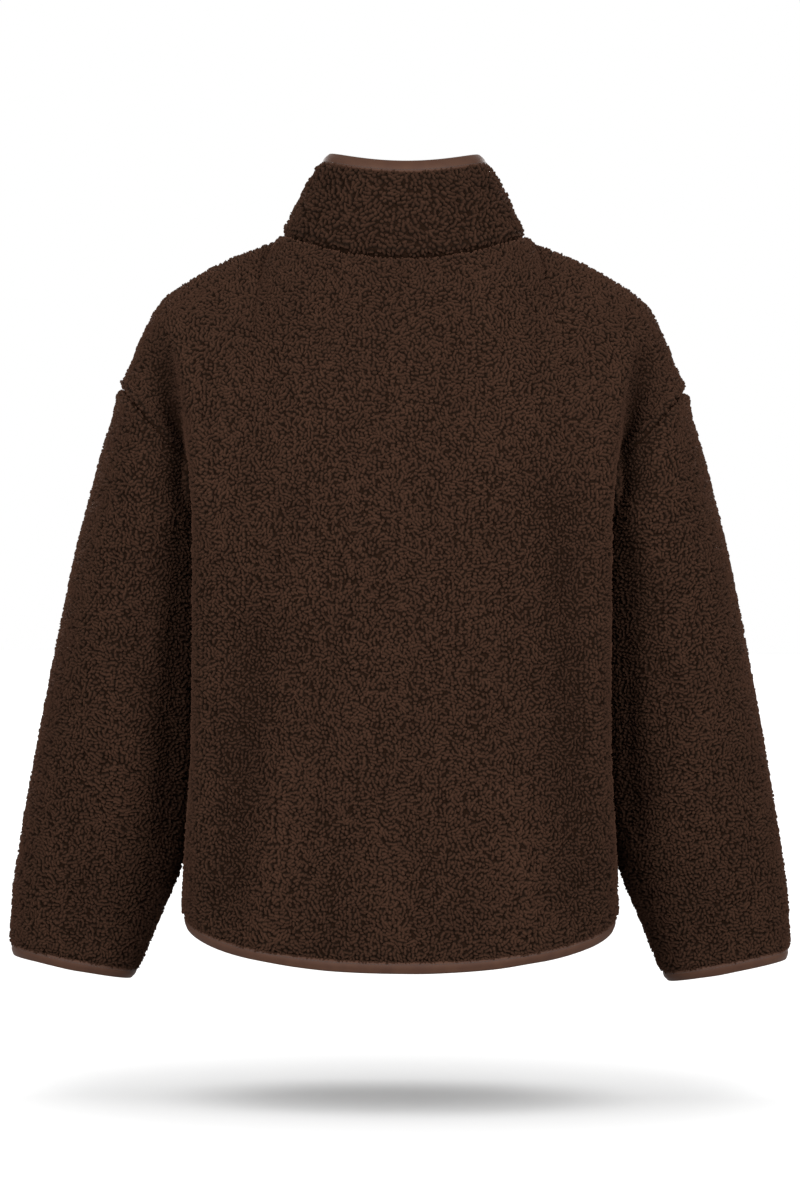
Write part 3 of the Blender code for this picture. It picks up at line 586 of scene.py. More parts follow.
    def collar_strip(self, across: int, rows: int) -> Array:
        """Grid of the whole collar.

        Args:
            across: Steps from one front edge round to the other.
            rows: Steps from the neckline to the top edge.

        Returns:
            Points, rows from the neckline up, each from the left front edge to the right.
        """
        shares = np.linspace(0, self.neck_share, across // 4 + 1)
        heights = crowd(rows, (0, 1), self.collar_crowding)[:, None]
        front = self.collar(Facing.FRONT, shares, heights)
        back = self.collar(Facing.BACK, shares[::-1], heights)
        half = np.concatenate([front[:, :-1], back], axis=1)
        return np.concatenate([half, half[:, -2::-1] * (-1, 1, 1)], axis=1)


FORM = JacketForm()


# ---------------------------------------------------------------- colours and nodes
def linear(shade: str) -> tuple[float, float, float, float]:
    """Turn an sRGB hex colour into the linear one that shaders take.

    Args:
        shade: Six hex digits.

    Returns:
        Red, green, blue and an alpha of 1.
    """
    values = [int(shade[i : i + 2], 16) / 255 for i in (0, 2, 4)]
    return (*[v / 12.92 if v <= 0.04045 else ((v + 0.055) / 1.055) ** 2.4 for v in values], 1.0)


def add_node(tree: NodeTree, kind: str, inputs: dict[str | int, object] | None = None,
             **settings: object) -> Node:
    """Add a node with its settings, and fill or link its inputs.

    Args:
        tree: Where the node goes.
        kind: Blender's name of the node.
        inputs: Values, or sockets to link from, by the input's name or number.
        **settings: Properties of the node.

    Returns:
        The node.
    """
    node = tree.nodes.new(kind)
    for name, value in settings.items():
        setattr(node, name, value)
    for name, value in (inputs or {}).items():
        if isinstance(value, NodeSocket):
            tree.links.new(value, node.inputs[name])
        else:
            node.inputs[name].default_value = value
    return node


def scale_of(size_mm: float) -> float:
    """Scale of a pattern of which one unit is this long on the real surface."""
    return 1 / (size_mm * MM)


def new_material(name: str, **values: float | tuple) -> tuple[Material, NodeTree, Node]:
    """Start a material.

    Args:
        name: What the real material is.
        **values: Constants of its shader's own sockets, by their names with underscores for
            spaces.

    Returns:
        The material, its node tree and its Principled shader.
    """
    material = bpy.data.materials.new(name)
    material.use_nodes = True
    shader = material.node_tree.nodes["Principled BSDF"]
    for socket, value in values.items():
        shader.inputs[socket.replace("_", " ")].default_value = value
    return material, material.node_tree, shader


def dress(tree: NodeTree, shader: Node, tone: NodeSocket, shades: tuple[str, str],
          stops: tuple[float, float] = (0.0, 1.0), relief: NodeSocket | None = None,
          strength: float = 0.0, depth_mm: float = 0.0) -> None:
    """Colour a surface from dark to light along one pattern, and raise it along another.

    Args:
        tree: The material's nodes.
        shader: Its shader.
        tone: The pattern of its colour.
        shades: Its dark and its light shade, in hex digits.
        stops: Where in that pattern each of them lies.
        relief: The pattern of its relief, where it has one.
        strength: How strongly light meets the relief.
        depth_mm: How deep the relief is.
    """
    ramp = add_node(tree, "ShaderNodeValToRGB", {"Fac": tone})
    for stop, position, shade in zip(ramp.color_ramp.elements, stops, shades):
        stop.position, stop.color = position, linear(shade)
    tree.links.new(ramp.outputs["Color"], shader.inputs["Base Color"])
    if relief is not None:
        bump = add_node(tree, "ShaderNodeBump",
                        {"Height": relief, "Strength": strength, "Distance": depth_mm * MM})
        tree.links.new(bump.outputs["Normal"], shader.inputs["Normal"])


@dataclass(frozen=True)
class PileFinish:
    """Curled polyester pile: matt, with painted light on the curls' tops and painted shade between
    them.
    """

    # painted shade at the curls' roots, lightening to painted light at their crests
    root: str = "0E0805"
    flank: str = "1B110B"
    crest: str = "261811"
    stops: tuple[float, float, float] = (0.18, 0.46, 0.82)  # heights of these in a curl
    sheen_tint: str = "9A6E58"
    tones: tuple[float, float] = (0.76, 1.24)   # of the darkest and the lightest curl
    tone_reach: float = 0.8     # how far the sum of a curl's own tone and the drift is from 1
    fibre_mm: float = 0.9       # drawn coarser than a fibre, so that it shows
    drift_mm: float = 60.0      # slow change of tone over the cloth

    def make(self) -> Material:
        """Colour by how high a point stands in its curl, as painted shade low down and painted
        light on top, and roughen it with fibres.

        Returns:
            The material.
        """
        material, tree, shader = new_material(
            "curled_polyester_pile", Roughness=1.0, Sheen_Weight=0.10, Sheen_Roughness=0.5,
            Sheen_Tint=linear(self.sheen_tint), Specular_IOR_Level=0.03)
        place = add_node(tree, "ShaderNodeTexCoord").outputs["Object"]
        lift, tone, fold = (
            add_node(tree, "ShaderNodeAttribute", attribute_name=name).outputs["Fac"]
            for name in ("lift", "tone", "fold"))
        # painted shade and light: a curl is darker at its foot and lighter at its top
        ramp = add_node(tree, "ShaderNodeValToRGB", {"Fac": lift})
        shades = ramp.color_ramp.elements
        shades[0].color, shades[1].color = linear(self.root), linear(self.crest)
        shades[0].position, shades[1].position = self.stops[0], self.stops[2]
        shades.new(self.stops[1]).color = linear(self.flank)
        drift, fibre = (
            add_node(tree, "ShaderNodeTexNoise",
                     {"Vector": place, "Scale": scale_of(size), "Detail": 2.0}).outputs["Fac"]
            for size in (self.drift_mm, self.fibre_mm))
        mixed = add_node(tree, "ShaderNodeMath", {0: tone, 1: drift}, operation="ADD")
        shade = add_node(tree, "ShaderNodeMapRange",
                         {"Value": mixed.outputs[0], "From Min": 1 - self.tone_reach,
                          "From Max": 1 + self.tone_reach, "To Min": self.tones[0],
                          "To Max": self.tones[1]})
        # painted shade in troughs and painted light on ridges, through the fold mark
        laid = add_node(tree, "ShaderNodeMath", {0: fold, 1: 1.0}, operation="ADD")
        level = add_node(tree, "ShaderNodeMath", {0: shade.outputs["Result"], 1: laid.outputs[0]},
                         operation="MULTIPLY")
        colour = add_node(tree, "ShaderNodeVectorMath",
                          {0: ramp.outputs["Color"], "Scale": level.outputs[0]},
                          operation="SCALE")
        tree.links.new(colour.outputs[0], shader.inputs["Base Color"])
        bump = add_node(tree, "ShaderNodeBump",
                        {"Height": fibre, "Strength": 0.35, "Distance": 0.4 * MM})
        tree.links.new(bump.outputs["Normal"], shader.inputs["Normal"])
        return material


@dataclass(frozen=True)
class GroundFinish:
    """The pile's roots between the curls: the same yarn, painted very dark as the shade between
    the curls.
    """

    # painted shade: the ground is coloured much darker than the yarn, for the shade between the
    # curls
    dark: str = "110A06"
    light: str = "180E09"
    grain_mm: float = 2.5

    def make(self) -> Material:
        """Mottle the ground at the size of the curls.

        Returns:
            The material.
        """
        material, tree, shader = new_material("pile_ground", Roughness=1.0,
                                              Specular_IOR_Level=0.0)
        place = add_node(tree, "ShaderNodeTexCoord").outputs["Object"]
        grain = add_node(tree, "ShaderNodeTexNoise",
                         {"Vector": place, "Scale": scale_of(self.grain_mm), "Detail": 2.0})
        fac = grain.outputs["Fac"]
        dress(tree, shader, fac, (self.dark, self.light), (0.35, 0.65), fac, 0.6, 0.8)
        return material


@dataclass(frozen=True)
class BackingFinish:
    """The fleece's warp-knitted back, seen inside: flat, fine wales with a dull face."""

    dark: str = "33231B"
    light: str = "46332A"
    wale_mm: float = 1.6        # drawn coarser than the real 0.9 mm, so that it shows
    courses: float = 1.5        # for each wale

    def make(self) -> Material:
        """Draw the wales down the cloth and the courses across it, in its own UV map.

        Returns:
            The material.
        """
        material, tree, shader = new_material(
            "knitted_polyester_backing", Roughness=0.85, Sheen_Weight=0.15,
            Specular_IOR_Level=0.3)
        place = add_node(tree, "ShaderNodeUVMap", uv_map=CLOTH_MAP).outputs["UV"]
        scaled = add_node(tree, "ShaderNodeMapping",
                          {"Vector": place, "Scale": (scale_of(self.wale_mm),) * 3}).outputs[0]
        wales = add_node(tree, "ShaderNodeTexWave",
                         {"Vector": scaled, "Scale": ONE_BAND, "Distortion": 0.6},
                         bands_direction="X")
        courses = add_node(tree, "ShaderNodeTexWave",
                           {"Vector": scaled, "Scale": self.courses * ONE_BAND,
                            "Distortion": 0.8}, bands_direction="Y")
        knit = add_node(tree, "ShaderNodeMath",
                        {0: wales.outputs["Fac"], 1: courses.outputs["Fac"]},
                        operation="MULTIPLY").outputs[0]
        dress(tree, shader, knit, (self.dark, self.light), relief=knit, strength=0.4,
              depth_mm=0.3)
        return material


@dataclass(frozen=True)
class BindingFinish:
    """Folded polyester elastic: a satin face with fine cords across it, a little glossy."""

    dark: str = "2E1C14"
    light: str = "352218"
    sheen_tint: str = "C9A18C"
    cord_mm: float = 1.1        # drawn coarser than the real 0.5 mm, so that it shows
    drift_mm: float = 100 / 9   # slow change of its shade

    def make(self) -> Material:
        """Draw the fine cords across the binding, in its own UV map.

        Returns:
            The material.
        """
        material, tree, shader = new_material(
            "satin_fold_elastic", Roughness=0.62, Sheen_Weight=0.05, Sheen_Roughness=0.4,
            Sheen_Tint=linear(self.sheen_tint), Specular_IOR_Level=0.10)
        place = add_node(tree, "ShaderNodeUVMap", uv_map=CLOTH_MAP).outputs["UV"]
        scaled = add_node(tree, "ShaderNodeMapping",
                          {"Vector": place, "Scale": (scale_of(self.cord_mm),) * 3}).outputs[0]
        cords = add_node(tree, "ShaderNodeTexWave",
                         {"Vector": scaled, "Scale": ONE_BAND, "Distortion": 0.3},
                         bands_direction="Y")
        solid = add_node(tree, "ShaderNodeTexCoord").outputs["Object"]
        drift = add_node(tree, "ShaderNodeTexNoise",
                         {"Vector": solid, "Scale": scale_of(self.drift_mm), "Detail": 3.0})
        dress(tree, shader, drift.outputs["Fac"], (self.dark, self.light), (0.25, 0.75),
              cords.outputs["Fac"], 0.12, 0.2)
        return material


@dataclass(frozen=True)
class TapeFinish:
    """Woven polyester zip tape: a close twill, dull and a little lighter than the pile."""

    dark: str = "32221A"
    light: str = "4A362C"
    weave_mm: float = 1.0
    slant: float = math.radians(45)

    def make(self) -> Material:
        """Draw the slanting ribs of the weave, in its own UV map.

        Returns:
            The material.
        """
        material, tree, shader = new_material("woven_polyester_tape", Roughness=0.8,
                                              Sheen_Weight=0.1, Specular_IOR_Level=0.3)
        place = add_node(tree, "ShaderNodeUVMap", uv_map=CLOTH_MAP).outputs["UV"]
        turned = add_node(tree, "ShaderNodeMapping",
                          {"Vector": place, "Rotation": (0.0, 0.0, self.slant),
                           "Scale": (scale_of(self.weave_mm),) * 3}).outputs[0]
        ribs = add_node(tree, "ShaderNodeTexWave", {"Vector": turned, "Scale": ONE_BAND},
                        bands_direction="DIAGONAL").outputs["Fac"]
        dress(tree, shader, ribs, (self.dark, self.light), relief=ribs, strength=0.3,
              depth_mm=0.2)
        return material


@dataclass(frozen=True)
class HardFinish:
    """A hard trim, moulded or lacquered, with faint wear and dust in its gloss."""

    name: str
    dark: str
    light: str
    roughness: tuple[float, float]
    metallic: float = 0.0
    grain_mm: float = 1.5

    def make(self) -> Material:
        """Vary colour and gloss softly over the trim.

        Returns:
            The material.
        """
        material, tree, shader = new_material(self.name, Metallic=self.metallic)
        place = add_node(tree, "ShaderNodeTexCoord").outputs["Object"]
        grain = add_node(tree, "ShaderNodeTexNoise",
                         {"Vector": place, "Scale": scale_of(self.grain_mm), "Detail": 3.0})
        fac = grain.outputs["Fac"]
        dress(tree, shader, fac, (self.dark, self.light), (0.3, 0.7))
        gloss = add_node(tree, "ShaderNodeMapRange",
                         {"Value": fac, "To Min": self.roughness[0],
                          "To Max": self.roughness[1]})
        tree.links.new(gloss.outputs["Result"], shader.inputs["Roughness"])
        return material


@dataclass
class Finishes:
    """Every material of the jacket, made once."""

    pile: Material = field(default_factory=PileFinish().make)
    ground: Material = field(default_factory=GroundFinish().make)
    backing: Material = field(default_factory=BackingFinish().make)
    binding: Material = field(default_factory=BindingFinish().make)
    tape: Material = field(default_factory=TapeFinish().make)
    thread: Material = field(default_factory=HardFinish(
        "spun_polyester_thread", "20130E", "2A1B14", (0.55, 0.75)).make)
    teeth: Material = field(default_factory=HardFinish(
        "moulded_acetal", "33241D", "3E2D25", (0.32, 0.45)).make)
    zinc: Material = field(default_factory=HardFinish(
        "lacquered_zinc", "57443A", "6B5548", (0.28, 0.42), metallic=1.0).make)


# ---------------------------------------------------------------- mesh helpers
def to_object(mesh: BMesh, name: str) -> Object:
    """Turn a bmesh into an object that is in no scene yet.

    Args:
        mesh: The mesh, which is freed.
        name: Name of the object and its data.

    Returns:
        The new object.
    """
    data = bpy.data.meshes.new(name)
    mesh.to_mesh(data)
    mesh.free()
    return bpy.data.objects.new(name, data)


def add_piece(piece: Object, body: str = JACKET) -> Object:
    """Put a piece of the jacket in the scene, on the body that it rides on.

    Args:
        piece: The object.
        body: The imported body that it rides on.

    Returns:
        The same object.
    """
    bpy.context.scene.collection.objects.link(piece)
    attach(piece, body)
    piece.data.calc_loop_triangles()
    log.info("%s: %d triangles", piece.name, len(piece.data.loop_triangles))
    return piece


def finish_piece(mesh: BMesh, name: str, materials: Iterable[Material],
                 body: str = JACKET) -> Object:
    """Turn a bmesh into a smooth piece of the jacket that rides on a body.

    Args:
        mesh: The finished mesh, which is freed.
        name: The piece's name.
        materials: Its materials, in the order of its faces' material numbers.
        body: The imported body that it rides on.

    Returns:
        The new object.
    """
    piece = to_object(mesh, name)
    piece.data.shade_smooth()
    for material in materials:
        piece.data.materials.append(material)
    return add_piece(piece, body)


def start_ball(mesh: BMesh) -> None:
    """Start a mesh with a ball of few faces and diameter 1, whose poles lie along X.

    Args:
        mesh: The empty mesh.
    """
    bmesh.ops.create_uvsphere(mesh, u_segments=4, v_segments=3, radius=0.5)
    bmesh.ops.rotate(mesh, verts=mesh.verts, cent=(0, 0, 0),
                     matrix=Matrix.Rotation(math.radians(90), 3, "Y"))


def start_block(mesh: BMesh, size: Sequence[float], rounding: float) -> None:
    """Start a mesh with a block about the origin.

    Args:
        mesh: The empty mesh.
        size: The block's width, depth and height.
        rounding: Size of the bevel on its edges.
    """
    bmesh.ops.create_cube(mesh, size=1.0)
    bmesh.ops.scale(mesh, verts=mesh.verts, vec=size)
    soften(mesh, rounding)


def open_edges(mesh: BMesh) -> list[bmesh.types.BMEdge]:
    """Edges of a mesh that have a face on one side only."""
    return [edge for edge in mesh.edges if edge.is_boundary]


def lay_grid(mesh: BMesh, points: Array, material: int = 0) -> list[bmesh.types.BMVert]:
    """Lay a grid on an array of points, with a UV map in metres along its rows and columns.

    Args:
        mesh: Where the grid goes.
        points: Rows by columns of points.
        material: Material number of its faces.

    Returns:
        The grid's vertices, row after row.
    """
    rows, columns = points.shape[:2]
    made = bmesh.ops.create_grid(mesh, x_segments=columns - 1, y_segments=rows - 1, size=0.5)
    verts = sorted(made["verts"], key=lambda v: (round(v.co.y, 6), round(v.co.x, 6)))
    across = arc_length(points, 1)
    along = arc_length(points, 0)
    across -= across[:, columns // 2 : columns // 2 + 1]
    place = {vert: i for i, vert in enumerate(verts)}
    layer = mesh.loops.layers.uv.get(CLOTH_MAP) or mesh.loops.layers.uv.new(CLOTH_MAP)
    for face in {face for vert in verts for face in vert.link_faces}:
        face.material_index = material
        for loop in face.loops:
            row, column = divmod(place[loop.vert], columns)
            loop[layer].uv = (across[row, column], along[row, column])
    for vert, point in zip(verts, points.reshape(-1, 3)):
        vert.co = point
    return verts


def arc_length(points: Array, axis: int) -> Array:
    """Length along a grid.

    Args:
        points: Rows by columns of points, or one row of them.
        axis: 0 along the columns, from the first row, or 1 along the rows.

    Returns:
        The length up to each point.
    """
    steps = np.linalg.norm(np.diff(points, axis=axis), axis=-1)
    lengths = np.cumsum(steps, axis=axis)
    first = np.zeros_like(np.take(lengths, [0], axis=axis))
    return np.concatenate([first, lengths], axis=axis)


def grid_normals(points: Array, closed: bool) -> Array:
    """Unit normals of a grid of points, along its columns' direction times its rows'.

    Args:
        points: Rows by columns of points.
        closed: True if the last column lies on the first.

    Returns:
        Normals in the shape of the points.
    """
    if closed:
        wrapped = np.concatenate([points[:, -2:-1], points, points[:, 1:2]], axis=1)
        across = np.gradient(wrapped, axis=1)[:, 1:-1]
    else:
        across = np.gradient(points, axis=1)
    return unit(np.cross(across, np.gradient(points, axis=0)))


# ---------------------------------------------------------------- pile
@dataclass(frozen=True)
class Curl:
    """One shape of curl, a bent half worm that lies on the ground of the pile (metres)."""

    length: float
    width: float
    height: float
    bend: float                 # how far its ends turn aside
    bend_back: float = 0.3      # share of that by which its middle turns the other way
    stub_end: float = 0.4       # half length of its stub, of which the whole is 1 long
    stub_growth: float = 1.17   # how much the stub is thicker than a ball's middle

    def make(self, name: str) -> Object:
        """Model the curl about its middle, its foot on the plane z = 0, with its own map.

        Args:
            name: Name of the template object.

        Returns:
            An object that is in no scene.
        """
        mesh = bmesh.new()
        start_ball(mesh)
        bmesh.ops.bisect_plane(mesh, geom=mesh.verts[:] + mesh.edges[:] + mesh.faces[:],
                               dist=MERGE_DISTANCE, plane_co=(0, 0, 0), plane_no=(0, 0, -1),
                               clear_outer=True)
        for vert in mesh.verts:
            if abs(vert.co.x) < self.stub_end:
                vert.co *= self.stub_growth
        lift = mesh.verts.layers.float.new("lift")
        layer = mesh.loops.layers.uv.new(CURL_MAP)
        for vert in mesh.verts:
            vert[lift] = max(2 * vert.co.z, 0.0)
        for face in mesh.faces:
            for loop in face.loops:
                loop[layer].uv = (loop.vert.co.x + 0.5, loop.vert.co.y + 0.5)
        bmesh.ops.scale(mesh, verts=mesh.verts, vec=(self.length, self.width, 2 * self.height))
        for vert in mesh.verts:
            vert.co.y += self.bend * ((2 * vert.co.x / self.length) ** 2 - self.bend_back)
        curl = to_object(mesh, name)
        curl.data.shade_smooth()
        return curl


@dataclass
class Pile:
    """The curled pile of the whole jacket, grown on the ground of each panel."""

    finishes: Finishes
    curls: tuple[Curl, ...] = (
        Curl(0.0042, 0.0038, 0.0027, 0.0000),
        Curl(0.0046, 0.0036, 0.0025, 0.0006),
        Curl(0.0048, 0.0037, 0.0028, -0.0006),
        Curl(0.0054, 0.0035, 0.0027, 0.0010),
        Curl(0.0060, 0.0034, 0.0024, -0.0011),
        Curl(0.0044, 0.0039, 0.0029, 0.0004),
    )
    spacing: float = 0.00243    # least distance between two curls
    trials: float = 2.5         # places tried for a curl on each square of that spacing
    sizes: tuple[float, float] = (0.80, 1.32)   # least and largest share of a curl's size
    swirl: float = 0.024        # over what distance their direction turns
    swirl_turns: float = 2.0    # whole turns over the swirl's range
    stray: float = 0.65         # how far one may turn from its neighbours (radians)
    seam_shrink: float = 0.50   # how much smaller the curls are in the deepest seams
    bare_seam: float = 0.60     # nearness to such a seam above which none grow
    map_margin: float = 0.06    # free edge of a curl's cell in the map, as a share

    def __post_init__(self) -> None:
        """Model the curls and keep them in a collection that is in no scene."""
        self.stock = bpy.data.collections.new("curls")
        for i, curl in enumerate(self.curls):
            self.stock.objects.link(curl.make(f"curl_{i}"))

    def grow(self, face: Array, marks: dict[str, Array], name: str, size: float,
             seed: int) -> Object:
        """Cover a ground with curls, as one joined mesh.

        Args:
            face: Grid of points of the ground, rows by columns.
            marks: Values for each of them, that are kept on the curls by their names.
            name: The new piece's name.
            size: Scale of the curls and of their spacing.
            seed: Seed of every random draw.

        Returns:
            The pile's object, which rides on the jacket.
        """
        mesh = bmesh.new()
        layers = [mesh.verts.layers.float.new(mark) for mark in marks]
        for vert, *values in zip(lay_grid(mesh, face), *(m.ravel() for m in marks.values())):
            for layer, value in zip(layers, values):
                vert[layer] = value
        sower = to_object(mesh, "sower")
        bpy.context.scene.collection.objects.link(sower)
        sower.modifiers.new("sow", "NODES").node_group = self.sowing(size, seed)
        depsgraph = bpy.context.evaluated_depsgraph_get()
        data = bpy.data.meshes.new_from_object(sower.evaluated_get(depsgraph))
        data.name = name
        bpy.data.objects.remove(sower)
        self.map_curls(data)
        data.materials.clear()
        data.materials.append(self.finishes.pile)
        return add_piece(bpy.data.objects.new(name, data))

    def sowing(self, size: float, seed: int) -> NodeTree:
        """Build the nodes that place, turn and scale the curls on a ground.

        Args:
            size: Scale of the curls and of their spacing.
            seed: Seed of the first random draw. Each later one has the next number.

        Returns:
            The node group.
        """
        tree = bpy.data.node_groups.new("sow", "GeometryNodeTree")
        for way in ("INPUT", "OUTPUT"):
            tree.interface.new_socket("Geometry", in_out=way, socket_type="NodeSocketGeometry")
        entry = add_node(tree, "NodeGroupInput")
        seam, fold = (
            add_node(tree, "GeometryNodeInputNamedAttribute", {"Name": name},
                     data_type="FLOAT").outputs["Attribute"] for name in ("seam", "fold"))
        grown = add_node(tree, "FunctionNodeCompare", {"A": seam, "B": self.bare_seam},
                         data_type="FLOAT", operation="LESS_THAN")
        spacing = self.spacing * size
        points = add_node(tree, "GeometryNodeDistributePointsOnFaces",
                          {"Mesh": entry.outputs[0], "Distance Min": spacing,
                           "Density Max": self.trials / spacing ** 2, "Seed": seed},
                          distribute_method="POISSON")
        kept = add_node(tree, "GeometryNodeSeparateGeometry",
                        {"Geometry": points.outputs["Points"],
                         "Selection": grown.outputs["Result"]}, domain="POINT")
        rotation = self.turning(tree, points.outputs["Rotation"], size, seed + 1)
        scale = self.sizing(tree, seam, fold, size, seed + 2)
        pick = add_node(tree, "FunctionNodeRandomValue",
                        {"Min": 0, "Max": len(self.curls) - 1, "Seed": seed + 3},
                        data_type="INT")
        stock = add_node(tree, "GeometryNodeCollectionInfo",
                         {"Collection": self.stock, "Separate Children": True,
                          "Reset Children": True})
        curls = add_node(tree, "GeometryNodeInstanceOnPoints",
                         {"Points": kept.outputs["Selection"], "Instance": stock.outputs[0],
                          "Pick Instance": True, "Instance Index": pick.outputs["Value"],
                          "Rotation": rotation, "Scale": scale})
        tone = add_node(tree, "FunctionNodeRandomValue", {"Seed": seed + 4}, data_type="FLOAT")
        index = add_node(tree, "GeometryNodeInputIndex")
        sown = curls.outputs[0]
        for name, value, kind in (("tone", tone.outputs["Value"], "FLOAT"),
                                  ("curl", index.outputs[0], "INT")):
            sown = add_node(tree, "GeometryNodeStoreNamedAttribute",
                            {"Geometry": sown, "Name": name, "Value": value},
                            data_type=kind, domain="INSTANCE").outputs[0]
        joined = add_node(tree, "GeometryNodeRealizeInstances", {"Geometry": sown})
        add_node(tree, "NodeGroupOutput", {"Geometry": joined.outputs[0]})
        return tree

    def turning(self, tree: NodeTree, upright: NodeSocket, size: float,
                seed: int) -> NodeSocket:
        """Build the nodes that lay neighbouring curls in swirls, each a little astray.

        Args:
            tree: The node group.
            upright: Rotation that stands a curl on the cloth.
            size: Scale of the curls.
            seed: Seed of the random draw.

        Returns:
            Each curl's rotation.
        """
        place = add_node(tree, "GeometryNodeInputPosition")
        swirl = add_node(tree, "ShaderNodeTexNoise",
                         {"Vector": place.outputs[0], "Scale": 1 / (self.swirl * size),
                          "Detail": 1.0})
        stray = add_node(tree, "FunctionNodeRandomValue",
                         {"Min": -self.stray, "Max": self.stray, "Seed": seed},
                         data_type="FLOAT")
        angle = add_node(tree, "ShaderNodeMath",
                         {0: swirl.outputs["Fac"], 1: self.swirl_turns * math.tau,
                          2: stray.outputs["Value"]}, operation="MULTIPLY_ADD")
        euler = add_node(tree, "ShaderNodeCombineXYZ", {"Z": angle.outputs[0]})
        turn = add_node(tree, "FunctionNodeEulerToRotation", {"Euler": euler.outputs[0]})
        return add_node(tree, "FunctionNodeRotateRotation",
                        {"Rotation": upright, "Rotate By": turn.outputs["Rotation"]},
                        rotation_space="LOCAL").outputs[0]

    def sizing(self, tree: NodeTree, seam: NodeSocket, fold: NodeSocket, size: float,
               seed: int) -> NodeSocket:
        """Build the nodes that vary the curls' size, and shrink them in seams and troughs.

        Args:
            tree: The node group.
            seam: How near a seam each point is.
            fold: How far it stands out on a ridge or back in a trough.
            size: Scale of the curls.
            seed: Seed of the random draw.

        Returns:
            Each curl's scale.
        """
        least, largest = ((share * size,) * 3 for share in self.sizes)
        scale = add_node(tree, "FunctionNodeRandomValue",
                         {"Min": least, "Max": largest, "Seed": seed},
                         data_type="FLOAT_VECTOR")
        swell = add_node(tree, "ShaderNodeMath", {0: fold, 1: 1.0}, operation="ADD")
        shrink = add_node(tree, "ShaderNodeMath",
                          {0: seam, 1: -self.seam_shrink, 2: swell.outputs[0]},
                          operation="MULTIPLY_ADD")
        return add_node(tree, "ShaderNodeVectorMath",
                        {0: scale.outputs["Value"], "Scale": shrink.outputs[0]},
                        operation="SCALE").outputs["Vector"]

    def map_curls(self, data: bpy.types.Mesh) -> None:
        """Give each curl of a joined mesh its own cell of the map, numbered as it was sown.

        Args:
            data: The joined mesh.
        """
        curl = np.zeros(len(data.vertices), np.int32)
        data.attributes["curl"].data.foreach_get("value", curl)
        corner = np.zeros(len(data.loops), np.int32)
        data.loops.foreach_get("vertex_index", corner)
        layer = data.uv_layers[CURL_MAP]
        uv = np.zeros(2 * len(data.loops), np.float32)
        layer.uv.foreach_get("vector", uv)
        cells = math.ceil(math.sqrt(curl.max() + 1))
        row, column = np.divmod(curl[corner], cells)
        cell = np.stack([column, row], axis=1) + self.map_margin
        uv = (cell + (1 - 2 * self.map_margin) * uv.reshape(-1, 2)) / cells
        layer.uv.foreach_set("vector", uv.astype(np.float32).ravel())
        data.attributes.remove(data.attributes["curl"])


